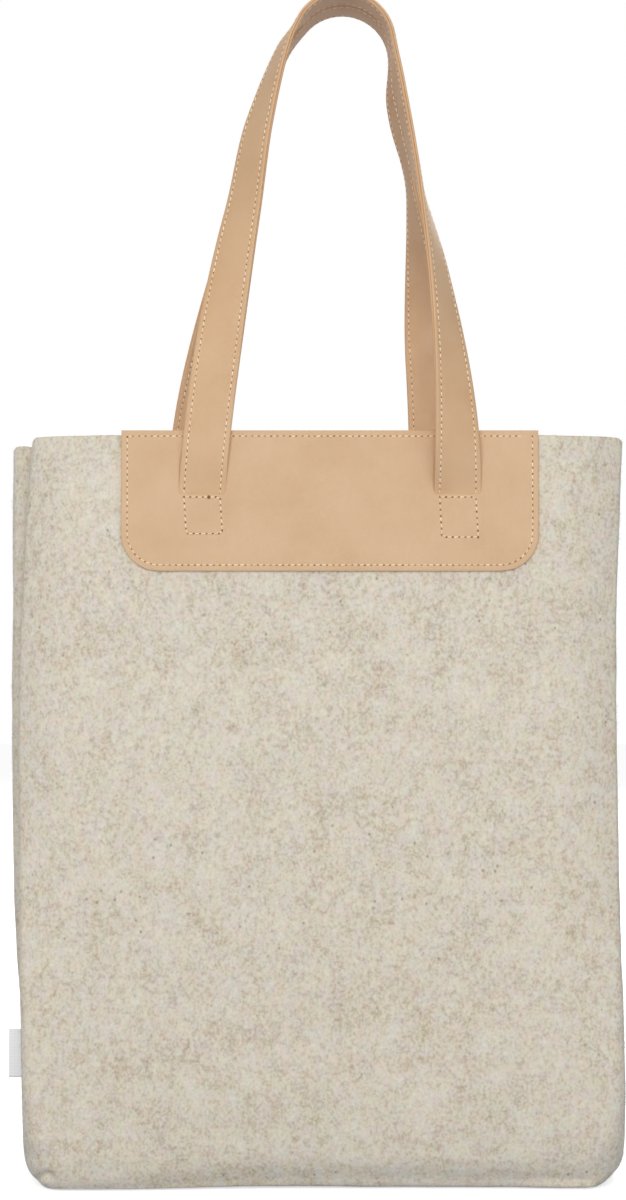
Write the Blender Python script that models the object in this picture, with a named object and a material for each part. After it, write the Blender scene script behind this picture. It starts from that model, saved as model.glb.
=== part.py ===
"""Felt knitting bag with leather patches and two stitched leather handles.

Metres, +Z up. The bag stands on its base, and the origin is under the middle of the base.
+X is to the right of someone who faces the bag, and the front wall faces -Y.
"""

import math
from collections import namedtuple

import bmesh
import bpy
from mathutils import Vector

# Felt body: outer sizes of the standing bag
BAG_WIDTH = 0.316
BAG_HEIGHT = 0.400
BASE_DEPTH = 0.080
MOUTH_DEPTH = 0.050
FELT = 0.003
BASE_RADIUS = 0.018
BASE_CORNER = 0.006
MOUTH_CORNER = 0.008
CORNER_CLOSING = 3
SEAM_ALLOWANCE = 0.008
BACK_SHIFT = -0.012

# Leather patch, one on each wall
PATCH_WIDTH = 0.222
PATCH_HEIGHT = 0.075
PATCH_CORNER = 0.020
PATCH_STAND = 0.003
PATCH_THICKNESS = 0.0018

# Handle straps, each of two plies, and the ends that pass through the patch
STRAP_WIDTH = 0.025
STRAP_PLY = 0.0013
STRAP_INSET = 0.0305
SLIT_DROP = 0.033
STRAP_END_LENGTH = 0.028
STRAP_END_PLY = 0.0015

# Handle loops: each hangs over a round support in the middle of the bag
LOOP_RISE = 0.210
LOOP_OFFSET = 0.007
LOOP_RADIUS = 0.027
LOOP_PARTING = 0.0014
LEG_RISE_PULL = 0.095
LEFT_LOOP_PULL = 0.030
RIGHT_LOOP_PULL = 0.070

# Woven label in the left side seam
LABEL_HEIGHT = 0.026
LABEL_REACH = 0.026
LABEL_FOOT = 0.0535
LABEL_TAPE = 0.0004
LABEL_FOLD = 0.0006
LABEL_SEAT = 0.0007

# Space between neighbouring pieces, and the distance within which points are one
GAP = 0.0003
WELD = 1e-6

# Facets
CORNER_STEPS = 4
WALL_ROWS = 14
BASE_ROUND_STEPS = 5
ARC_STEPS = 8
LEG_STEPS = 24
LOOP_STEPS = 12
SHARP_EDGE = math.radians(35)

FRONT, BACK = -1, 1
LEFT, RIGHT = -1, 1
SIDE_WORDS = {LEFT: "left", RIGHT: "right"}
WALL_WORDS = {FRONT: "front", BACK: "back"}

WALL_RISE = BAG_HEIGHT - BASE_RADIUS
WALL_LEAN = math.atan2((BASE_DEPTH - MOUTH_DEPTH) / 2, WALL_RISE)
WALL_SLANT = math.hypot((BASE_DEPTH - MOUTH_DEPTH) / 2, WALL_RISE)
PATCH_TOP = WALL_SLANT + PATCH_STAND
PATCH_FRONT = GAP + PATCH_THICKNESS
SLIT_TOP = PATCH_TOP - SLIT_DROP
SLIT_HEIGHT = STRAP_END_PLY + 2 * GAP
POCKET_DEPTH = STRAP_END_PLY + GAP
STRAP_THICKNESS = 2 * STRAP_PLY + GAP
STRAP_FRONT = PATCH_FRONT + GAP + STRAP_THICKNESS
STRAP_REACH = (PATCH_WIDTH - STRAP_WIDTH) / 2 - STRAP_INSET
STRAP_LEGS = {LEFT: -STRAP_REACH, RIGHT: STRAP_REACH}

# The angle from upright at which each leg meets the loop, and how straight it runs into it
LEG_LEAN = {LEFT: math.radians(40), RIGHT: math.radians(10)}
LEG_LOOP_PULL = {LEFT: LEFT_LOOP_PULL, RIGHT: RIGHT_LOOP_PULL}

# How each leg leans out of its slit and in towards the loop, and turns edge-on between two shares of
# its length: a haste above 1 turns it more at the start than at the end
LegTurn = namedtuple("LegTurn", "lean_out lean_in start end haste")
LEG_TURNS = {
    (FRONT, LEFT): LegTurn(math.radians(2), math.radians(4), 0.2, 1, 1.4),
    (FRONT, RIGHT): LegTurn(math.radians(16), 0, 0, 1, 2.2),
    (BACK, LEFT): LegTurn(math.radians(2), math.radians(5.5), 0.1, 0.75, 1.8),
    (BACK, RIGHT): LegTurn(math.radians(2), 0, 0.2, 1, 2),
}
FULL_TURN = math.radians(90)


def clear_scene():
    for item in list(bpy.data.objects):
        bpy.data.objects.remove(item, do_unlink=True)


def make_material(name, colour, roughness):
    material = bpy.data.materials.new(name)
    material.use_nodes = True
    shader = material.node_tree.nodes["Principled BSDF"]
    shader.inputs["Base Color"].default_value = (*colour, 1)
    shader.inputs["Roughness"].default_value = roughness
    shader.inputs["Metallic"].default_value = 0
    return material


def make_pivot(name, place, parent=None):
    """An empty on a joint's axis, which carries the pieces that turn there."""
    pivot = bpy.data.objects.new(name, None)
    bpy.context.collection.objects.link(pivot)
    pivot.parent = parent
    pivot.location = place - (parent.matrix_world.translation if parent else Vector())
    bpy.context.view_layer.update()
    return pivot


def make_piece(name, shape, material, pivot=None):
    """Turns a bmesh in world coordinates into an object whose origin is on its pivot."""
    if pivot:
        bmesh.ops.translate(shape, verts=shape.verts, vec=-pivot.matrix_world.translation)
    mesh = bpy.data.meshes.new(name)
    shape.to_mesh(mesh)
    shape.free()
    mesh.materials.append(material)
    mesh.shade_smooth()
    mesh.set_sharp_from_angle(angle=SHARP_EDGE)
    piece = bpy.data.objects.new(name, mesh)
    piece.parent = pivot
    bpy.context.collection.objects.link(piece)
    return piece


def cut(piece, cutter):
    cutter.hide_render = True
    cutter.display_type = "WIRE"
    hole = piece.modifiers.new(cutter.name, "BOOLEAN")
    hole.operation = "DIFFERENCE"
    hole.solver = "EXACT"
    hole.object = cutter


def lofted(loops):
    """A closed solid through a row of closed loops, each with as many points as the next."""
    columns = len(loops[0])
    rows = len(loops) - 1
    shape = bmesh.new()
    bmesh.ops.create_grid(shape, x_segments=columns, y_segments=rows, size=1)
    for vertex in shape.verts:
        column = round((vertex.co.x + 1) / 2 * columns) % columns
        row = round((vertex.co.y + 1) / 2 * rows)
        vertex.co = loops[row][column]
    bmesh.ops.remove_doubles(shape, verts=shape.verts, dist=WELD)
    bmesh.ops.holes_fill(shape, edges=shape.edges)
    bmesh.ops.recalc_face_normals(shape, faces=shape.faces)
    return shape


def extruded(outline, step):
    """A closed solid: a flat outline of world points, pulled along step."""
    shape = bmesh.new()
    face = shape.faces.new([shape.verts.new(point) for point in outline])
    pulled = bmesh.ops.extrude_face_region(shape, geom=[face])["geom"]
    moved = [item for item in pulled if isinstance(item, bmesh.types.BMVert)]
    bmesh.ops.translate(shape, verts=moved, vec=step)
    bmesh.ops.recalc_face_normals(shape, faces=shape.faces)
    return shape


def arc(centre, radius, start, end, steps):
    """Points on a circle in a plane, from one angle to another."""
    angles = [start + (end - start) * step / steps for step in range(steps + 1)]
    return [(centre[0] + radius * math.cos(a), centre[1] + radius * math.sin(a)) for a in angles]


def moved_aside(path, distance):
    """An open path in plan, moved to its left by a distance, with mitred corners."""
    runs = [end - start for start, end in zip(path, path[1:])]
    lefts = [Vector((-run.y, run.x)).normalized() for run in runs]
    moved = []
    for point, before, after in zip(path, lefts[:1] + lefts, lefts + lefts[-1:]):
        between = (before + after).normalized()
        moved.append(point + between * distance / between.dot(before))
    return moved


def felt_loop(outer, inner, z):
    """A felt sheet's section at one height: its outer path and, back again, its inner one."""
    return [(*point, z) for point in outer + inner[::-1]]


# The bag's outline at each height


def wall_share(z):
    return (z - BASE_RADIUS) / WALL_RISE


def half_depth(z):
    return (BASE_DEPTH + (MOUTH_DEPTH - BASE_DEPTH) * wall_share(z)) / 2


def sideways(z, wall):
    """How far a wall hangs to the side: the back wall drifts over to the left as it rises."""
    return BACK_SHIFT * wall_share(z) if wall == BACK else 0


def fold_depth(z):
    """How far the side seam is folded in, for a gusset that keeps the width of the base."""
    return math.sqrt(max((BASE_DEPTH / 2) ** 2 - half_depth(z) ** 2, 0))


def corner_radius(z):
    """Wide over the rounded base, and tighter the further the side seam is folded in."""
    base = BASE_RADIUS + BASE_CORNER
    folded = fold_depth(z) / fold_depth(BAG_HEIGHT)
    return MOUTH_CORNER + (base - MOUTH_CORNER) * (1 - folded) ** CORNER_CLOSING


def corner_centre(z, side, wall):
    radius = corner_radius(z)
    return Vector((side * (BAG_WIDTH / 2 - radius) + sideways(z, wall), wall * (half_depth(z) - radius)))


def seam_across(z, side):
    return side * (BAG_WIDTH / 2 - fold_depth(z)) + sideways(z, BACK) / 2


def corner_point(z, side, wall, share, layer=0):
    """A point of the soft fold beside a wall, layer deep: share 0 is on the wall, 1 by the gusset."""
    centre = corner_centre(z, side, wall)
    radius = corner_radius(z)
    reach = side * (seam_across(z, side) - centre.x)
    height = wall * centre.y
    past = math.atan2(height, reach) - math.acos(radius / math.hypot(reach, height))
    angle = math.pi / 2 - share * (math.pi / 2 + past)
    return centre + (radius - layer) * Vector((side * math.cos(angle), wall * math.sin(angle)))


def wall_path(z, wall, layer):
    """A wall from its left fold to its right one, layer deep in the felt."""
    shares = [step / CORNER_STEPS for step in range(CORNER_STEPS + 1)]
    left = [corner_point(z, LEFT, wall, share, layer) for share in reversed(shares)]
    right = [corner_point(z, RIGHT, wall, share, layer) for share in shares]
    return left + right


def gusset_path(z, side, wall):
    """Half a gusset: from the fold to the side seam, then inwards along the seam allowance."""
    fold = corner_point(z, side, wall, 1)
    seam = Vector((seam_across(z, side), wall * GAP / 2))
    fold += (seam - fold).normalized() * GAP
    return [fold, seam, seam - Vector((side * SEAM_ALLOWANCE, 0))]


def wall_heights():
    """Heights that lie closer together over the base, where the side fold opens fastest."""
    foot = BASE_RADIUS + GAP / 2
    return [foot + (BAG_HEIGHT - foot) * (row / WALL_ROWS) ** 2 for row in range(WALL_ROWS + 1)]


def on_wall(wall, across, up, out):
    """A point by its place on a wall: up along the slope from the base, and out of the felt."""
    depth = BASE_DEPTH / 2 - up * math.sin(WALL_LEAN) + out * math.cos(WALL_LEAN)
    height = BASE_RADIUS + up * math.cos(WALL_LEAN) + out * math.sin(WALL_LEAN)
    return Vector((across, wall * depth, height))


def out_of_wall(wall):
    return Vector((0, wall * math.cos(WALL_LEAN), math.sin(WALL_LEAN)))


def patch_centre(wall):
    """The back patch hangs over with its wall."""
    middle = BASE_RADIUS + (PATCH_TOP - PATCH_HEIGHT / 2) * math.cos(WALL_LEAN)
    return sideways(middle, wall)


# Felt pieces


def make_wall(wall, material, pivot):
    loops = [felt_loop(wall_path(z, wall, 0), wall_path(z, wall, FELT), z) for z in wall_heights()]
    piece = make_piece(f"{WALL_WORDS[wall]}_panel", lofted(loops), material, pivot)
    for side in (LEFT, RIGHT):
        cut(piece, make_pocket_cutter(wall, side, material, pivot))


def make_gusset(side, wall, material, pivot):
    loops = []
    for z in wall_heights():
        outer = gusset_path(z, side, wall)
        loops.append(felt_loop(outer, moved_aside(outer, -side * wall * FELT), z))
    make_piece(f"{SIDE_WORDS[side]}_gusset_{WALL_WORDS[wall]}", lofted(loops), material, pivot)


def base_loop(turn, layer):
    """One loop of the rounded base, layer deep in the felt: turn 0 is its rim, a quarter turn its flat."""
    rim = BASE_RADIUS - GAP / 2
    inset = BASE_RADIUS - (BASE_RADIUS - layer) * math.cos(turn)
    z = rim - (rim - layer) * math.sin(turn)
    radius = BASE_RADIUS + BASE_CORNER - inset
    across = BAG_WIDTH / 2 - inset - radius
    deep = BASE_DEPTH / 2 - inset - radius
    points = []
    for quarter, (x, y) in enumerate(((across, deep), (-across, deep), (-across, -deep), (across, -deep))):
        start = quarter * math.pi / 2
        points += arc((x, y), radius, start, start + math.pi / 2, CORNER_STEPS)
    return [(x, y, z) for x, y in points]


def make_base(material):
    """A shallow tray: up its outside from the flat to the rim, and down its inside again."""
    turns = [math.pi / 2 * step / BASE_ROUND_STEPS for step in range(BASE_ROUND_STEPS + 1)]
    outside = [base_loop(turn, 0) for turn in reversed(turns)]
    inside = [base_loop(turn, FELT) for turn in turns]
    make_piece("base_panel", lofted(outside + inside), material)


# Leather patches and the strap ends behind them


def wall_box(wall, across, width, low, high, inner, outer):
    """A block on a wall, from one height and depth to another."""
    corners = ((-width / 2, low), (width / 2, low), (width / 2, high), (-width / 2, high))
    outline = [on_wall(wall, across + x, up, inner) for x, up in corners]
    return extruded(outline, out_of_wall(wall) * (outer - inner))


def strap_across(wall, side):
    return patch_centre(wall) + STRAP_LEGS[side]


def make_pocket_cutter(wall, side, material, pivot):
    """The hollow that a sewn-down strap end presses into the felt."""
    low = SLIT_TOP - SLIT_HEIGHT - STRAP_END_LENGTH - GAP
    width = STRAP_WIDTH + 2 * GAP
    shape = wall_box(wall, strap_across(wall, side), width, low, SLIT_TOP, -POCKET_DEPTH, FELT)
    return make_piece(f"{WALL_WORDS[wall]}_{SIDE_WORDS[side]}_pocket", shape, material, pivot)


def make_slit_cutter(wall, side, material, pivot):
    width = STRAP_WIDTH + 2 * GAP
    low = SLIT_TOP - SLIT_HEIGHT
    shape = wall_box(wall, strap_across(wall, side), width, low, SLIT_TOP, -FELT, 2 * PATCH_FRONT)
    return make_piece(f"{WALL_WORDS[wall]}_{SIDE_WORDS[side]}_slit", shape, material, pivot)


def make_patch(wall, material, pivot):
    low = PATCH_TOP - PATCH_HEIGHT
    half = PATCH_WIDTH / 2
    turn = half - PATCH_CORNER
    right = arc((turn, low + PATCH_CORNER), PATCH_CORNER, -math.pi / 2, 0, ARC_STEPS)
    left = arc((-turn, low + PATCH_CORNER), PATCH_CORNER, -math.pi, -math.pi / 2, ARC_STEPS)
    flat = left + right + [(half, PATCH_TOP), (-half, PATCH_TOP)]
    outline = [on_wall(wall, patch_centre(wall) + x, up, GAP) for x, up in flat]
    shape = extruded(outline, out_of_wall(wall) * PATCH_THICKNESS)
    piece = make_piece(f"{WALL_WORDS[wall]}_patch", shape, material, pivot)
    for side in (LEFT, RIGHT):
        cut(piece, make_slit_cutter(wall, side, material, pivot))


def make_strap_end(wall, side, material, pivot):
    """The end of a strap: it turns in through the slit and down behind the patch."""
    neck_top = SLIT_TOP - GAP
    neck_foot = neck_top - STRAP_END_PLY
    foot = neck_foot - STRAP_END_LENGTH
    profile = (
        (neck_top, PATCH_FRONT),
        (neck_top, -STRAP_END_PLY),
        (foot, -STRAP_END_PLY),
        (foot, 0),
        (neck_foot, 0),
        (neck_foot, PATCH_FRONT),
    )
    edge = strap_across(wall, side) - STRAP_WIDTH / 2
    outline = [on_wall(wall, edge, up, out) for up, out in profile]
    shape = extruded(outline, Vector((STRAP_WIDTH, 0, 0)))
    make_piece(f"{WALL_WORDS[wall]}_{SIDE_WORDS[side]}_strap_end", shape, material, pivot)


# Handles: a ribbon that rises flat from each slit and twists edge-on over the support


def leg_turn(wall, side, share):
    """How far a leg has turned, a share of the way from its slit to the loop."""
    turn = LEG_TURNS[wall, side]
    left = min(max((turn.end - share) / (turn.end - turn.start), 0), 1)
    return FULL_TURN * (1 - left**turn.haste)


def loop_point(wall, angle):
    depth = (STRAP_WIDTH + LOOP_PARTING) / 2
    across = LOOP_OFFSET + LOOP_RADIUS * math.cos(angle)
    return Vector((across, wall * depth, BAG_HEIGHT + LOOP_RISE + LOOP_RADIUS * math.sin(angle)))


def loop_angle(side):
    """Where a leg meets the loop, measured from the right."""
    return LEG_LEAN[RIGHT] if side == RIGHT else math.pi - LEG_LEAN[LEFT]


def leg_point(wall, side, share):
    """A smooth curve from the slit, straight out of the wall's slope, to the loop's tangent."""
    turn = LEG_TURNS[wall, side]
    foot = on_wall(wall, strap_across(wall, side), SLIT_TOP, STRAP_FRONT - STRAP_THICKNESS / 2)
    up_wall = on_wall(wall, 0, 1, 0) - on_wall(wall, 0, 0, 0)
    rise = up_wall * math.cos(turn.lean_out) + out_of_wall(wall) * math.sin(turn.lean_out)
    rise = rise * math.cos(turn.lean_in) - Vector((side * math.sin(turn.lean_in), 0, 0))
    angle = loop_angle(side)
    head = loop_point(wall, angle)
    tangent = side * Vector((-math.sin(angle), 0, math.cos(angle)))
    pulls = (foot, foot + rise * LEG_RISE_PULL, head - tangent * LEG_LOOP_PULL[side], head)
    weights = ((1 - share) ** 3, 3 * share * (1 - share) ** 2, 3 * share**2 * (1 - share), share**3)
    return sum((pull * weight for pull, weight in zip(pulls, weights)), Vector())


def handle_point(wall, step):
    """The middle of the strap and its turn at a step, from the left slit over to the right one."""
    last = 2 * LEG_STEPS + LOOP_STEPS
    if step <= LEG_STEPS:
        share = step / LEG_STEPS
        return leg_point(wall, LEFT, share), leg_turn(wall, LEFT, share)
    if step >= LEG_STEPS + LOOP_STEPS:
        share = (last - step) / LEG_STEPS
        return leg_point(wall, RIGHT, share), leg_turn(wall, RIGHT, share)
    share = (step - LEG_STEPS) / LOOP_STEPS
    return loop_point(wall, loop_angle(LEFT) + (loop_angle(RIGHT) - loop_angle(LEFT)) * share), FULL_TURN


def strap_frame(wall, step):
    """The strap's middle, the way its outer face looks, and the way its width runs."""
    last = 2 * LEG_STEPS + LOOP_STEPS
    middle, turn = handle_point(wall, step)
    before = handle_point(wall, max(step - 1, 0))[0]
    after = handle_point(wall, min(step + 1, last))[0]
    along = (after - before).normalized()
    outward = Vector((0, wall, 0))
    outward = (outward - along * outward.dot(along)).normalized()
    upward = along.cross(outward) * wall
    face = outward * math.cos(turn) + upward * math.sin(turn)
    return middle, face, along.cross(face)


def make_handle_ply(wall, ply, material, pivot):
    """One ply of a handle: ply 1 is the outer face, and -1 the lining."""
    loops = []
    for step in range(2 * LEG_STEPS + LOOP_STEPS + 1):
        middle, face, width = strap_frame(wall, step)
        edge = width * STRAP_WIDTH / 2
        near = face * ply * GAP / 2
        far = face * ply * (GAP / 2 + STRAP_PLY)
        loops.append([middle - edge + near, middle + edge + near, middle + edge + far, middle - edge + far])
    name = f"{WALL_WORDS[wall]}_handle_{'face' if ply > 0 else 'lining'}"
    make_piece(name, lofted(loops), material, pivot)


def label_root():
    """The foot of the label's sewn edge, just outside the side seam."""
    return Vector((seam_across(LABEL_FOOT, LEFT) - LABEL_SEAT, 0, LABEL_FOOT))


def make_label(material, pivot):
    """A tape folded in two, with its fold at the outer end and its two ends in the seam."""
    root = label_root().x
    inner = LABEL_FOLD / 2
    outer = inner + LABEL_TAPE
    fold = (root - LABEL_REACH + outer, 0)
    outside = arc(fold, outer, math.pi / 2, 3 * math.pi / 2, ARC_STEPS)
    inside = arc(fold, inner, 3 * math.pi / 2, math.pi / 2, ARC_STEPS)
    flat = [(root, outer)] + outside + [(root, -outer), (root, -inner)] + inside + [(root, inner)]
    shape = extruded([Vector((x, y, LABEL_FOOT)) for x, y in flat], Vector((0, 0, LABEL_HEIGHT)))
    make_piece("side_label", shape, material, pivot)


def main():
    clear_scene()
    felt = make_material("wool_felt", (0.61, 0.55, 0.46), 0.95)
    leather = make_material("tan_leather", (0.66, 0.45, 0.28), 0.55)
    lining = make_material("lining_leather", (0.62, 0.41, 0.25), 0.62)
    tape = make_material("woven_tape", (0.82, 0.82, 0.80), 0.85)

    mouth = make_pivot("mouth_pivot", Vector((0, (BASE_DEPTH - FELT) / 2, BASE_RADIUS)))
    carriers = {FRONT: None, BACK: mouth}

    make_base(felt)
    for wall, carrier in carriers.items():
        make_wall(wall, felt, carrier)
        make_patch(wall, leather, carrier)
        for side in (LEFT, RIGHT):
            make_gusset(side, wall, felt, carrier)
            make_strap_end(wall, side, leather, carrier)
        swing = on_wall(wall, patch_centre(wall), SLIT_TOP, STRAP_FRONT)
        handle = make_pivot(f"{WALL_WORDS[wall]}_handle_pivot", swing, carrier)
        make_handle_ply(wall, 1, leather, handle)
        make_handle_ply(wall, -1, lining, handle)
    make_label(tape, make_pivot("label_pivot", label_root()))


main()
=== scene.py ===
"""Dresses the felt knitting bag in its felt, leather, thread and woven tape.

Metres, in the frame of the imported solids: +Z is up, +X is to the right of someone who faces
the bag, and the front wall faces -Y.
"""

import logging
import math
import random
from collections.abc import Sequence
from dataclasses import dataclass, field
from enum import Enum
from typing import NamedTuple

import bmesh
import bpy
import numpy as np
from mathutils import Matrix, Vector, noise


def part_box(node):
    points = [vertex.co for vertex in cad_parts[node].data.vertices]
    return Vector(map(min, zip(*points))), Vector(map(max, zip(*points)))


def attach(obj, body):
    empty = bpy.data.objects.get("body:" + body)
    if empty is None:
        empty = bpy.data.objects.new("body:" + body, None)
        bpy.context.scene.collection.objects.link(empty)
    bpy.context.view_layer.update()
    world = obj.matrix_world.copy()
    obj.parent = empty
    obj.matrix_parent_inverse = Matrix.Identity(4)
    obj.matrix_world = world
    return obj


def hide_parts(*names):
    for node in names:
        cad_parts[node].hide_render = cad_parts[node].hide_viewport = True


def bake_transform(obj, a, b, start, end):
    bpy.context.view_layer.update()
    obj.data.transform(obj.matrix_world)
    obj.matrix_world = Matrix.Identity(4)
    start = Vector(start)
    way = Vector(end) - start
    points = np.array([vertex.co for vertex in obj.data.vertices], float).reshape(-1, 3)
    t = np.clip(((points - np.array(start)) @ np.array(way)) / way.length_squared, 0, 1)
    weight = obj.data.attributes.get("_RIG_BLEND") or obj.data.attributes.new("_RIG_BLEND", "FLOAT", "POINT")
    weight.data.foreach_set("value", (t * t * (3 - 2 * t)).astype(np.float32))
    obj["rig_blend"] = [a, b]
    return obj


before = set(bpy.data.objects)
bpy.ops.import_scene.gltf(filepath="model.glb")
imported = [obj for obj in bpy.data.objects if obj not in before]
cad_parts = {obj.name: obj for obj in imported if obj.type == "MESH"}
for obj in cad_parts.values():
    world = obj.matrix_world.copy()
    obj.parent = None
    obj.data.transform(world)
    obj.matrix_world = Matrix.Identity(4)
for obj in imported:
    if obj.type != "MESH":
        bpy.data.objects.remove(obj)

Colour = tuple[float, float, float]
Ring = list[Vector]

LOG = logging.getLogger("knitting_bag")
MM = 0.001
WELD = 1e-6
REST = "rest"
EDGE = "from_edge"
SHADE = "shade"
BAKE_MAP = "OFBake"


class Wall(Enum):
    """The bag's two walls, by the way they face along Y."""

    FRONT = -1
    BACK = 1

    @property
    def word(self) -> str:
        """The wall's word in the names of its pieces."""
        return self.name.lower()

    @property
    def carrier(self) -> str:
        """The body that the wall's patch rides on."""
        return "bag" if self is Wall.FRONT else "back_wall"

    @property
    def handle(self) -> str:
        """The body of the handle that hangs on this wall."""
        return f"{self.word}_handle"


class Side(Enum):
    """The bag's two sides, by their sign along X."""

    LEFT = -1
    RIGHT = 1

    @property
    def word(self) -> str:
        """The side's word in the names of its pieces."""
        return self.name.lower()


class Ply(Enum):
    """The two plies of a strap, by the side of its middle on which they lie."""

    FACE = 1
    LINING = -1

    @property
    def word(self) -> str:
        """The ply's word in the names of its pieces."""
        return self.name.lower()


@dataclass(frozen=True)
class LegShape:
    """How one leg of a handle runs and turns between its slit and the loop.

    Attributes:
        lean: The angle from upright at which it meets the loop.
        lean_out: How far it leans out of its slit.
        lean_in: How far it leans towards the loop there.
        rise_pull: How straight it leaves its slit.
        loop_pull: How straight it meets the loop.
        turn_start: Where along it the strap begins to turn edge-on.
        turn_end: Where it is edge-on.
        turn_haste: Above 1, it turns more at the start than at the end.
        late: Between which shares of its length it begins to sway under the loop.
        late_turn: How much further it has turned where it sways.
        draw_in: How far it is drawn towards the other leg there.
    """

    lean: float
    lean_out: float
    lean_in: float
    rise_pull: float
    loop_pull: float
    turn_start: float
    turn_end: float
    turn_haste: float
    late: tuple[float, float]
    late_turn: float
    draw_in: float

    def sway(self, share: float) -> float:
        """How much the strap sways under the loop, from 0 to 1."""
        return eased(*self.late, share) * eased(1, 0.86, share)

    def turn(self, share: float) -> float:
        """How far the strap has turned.

        Args:
            share: The way along the leg, from 0 at the slit to 1 at the loop.

        Returns:
            The turn in radians, about a quarter turn at most.
        """
        left = (self.turn_end - share) / (self.turn_end - self.turn_start)
        turned = math.pi / 2 * (1 - min(max(left, 0), 1) ** self.turn_haste)
        return turned + self.late_turn * self.sway(share)


def from_chart(red: int, green: int, blue: int) -> Colour:
    """Turns a colour chart's numbers into linear light.

    Args:
        red: Red, from 0 to 255.
        green: Green, from 0 to 255.
        blue: Blue, from 0 to 255.

    Returns:
        The linear colour that shaders take.
    """
    shares = (red / 255, green / 255, blue / 255)
    linear = [s / 12.92 if s <= 0.04045 else ((s + 0.055) / 1.055) ** 2.4 for s in shares]
    return linear[0], linear[1], linear[2]


def eased(low: float, high: float, value: float) -> float:
    """A smooth step from 0 at low to 1 at high."""
    share = min(max((value - low) / (high - low), 0), 1)
    return share * share * (3 - 2 * share)


def hump(distance: float, width: float) -> float:
    """A bell that is 1 at no distance and fades over a width."""
    return math.exp(-((distance / width) ** 2))


def spaced(start: Vector, end: Vector, steps: int) -> Ring:
    """Points on a straight line, both ends included."""
    return [start.lerp(end, step / steps) for step in range(steps + 1)]


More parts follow.
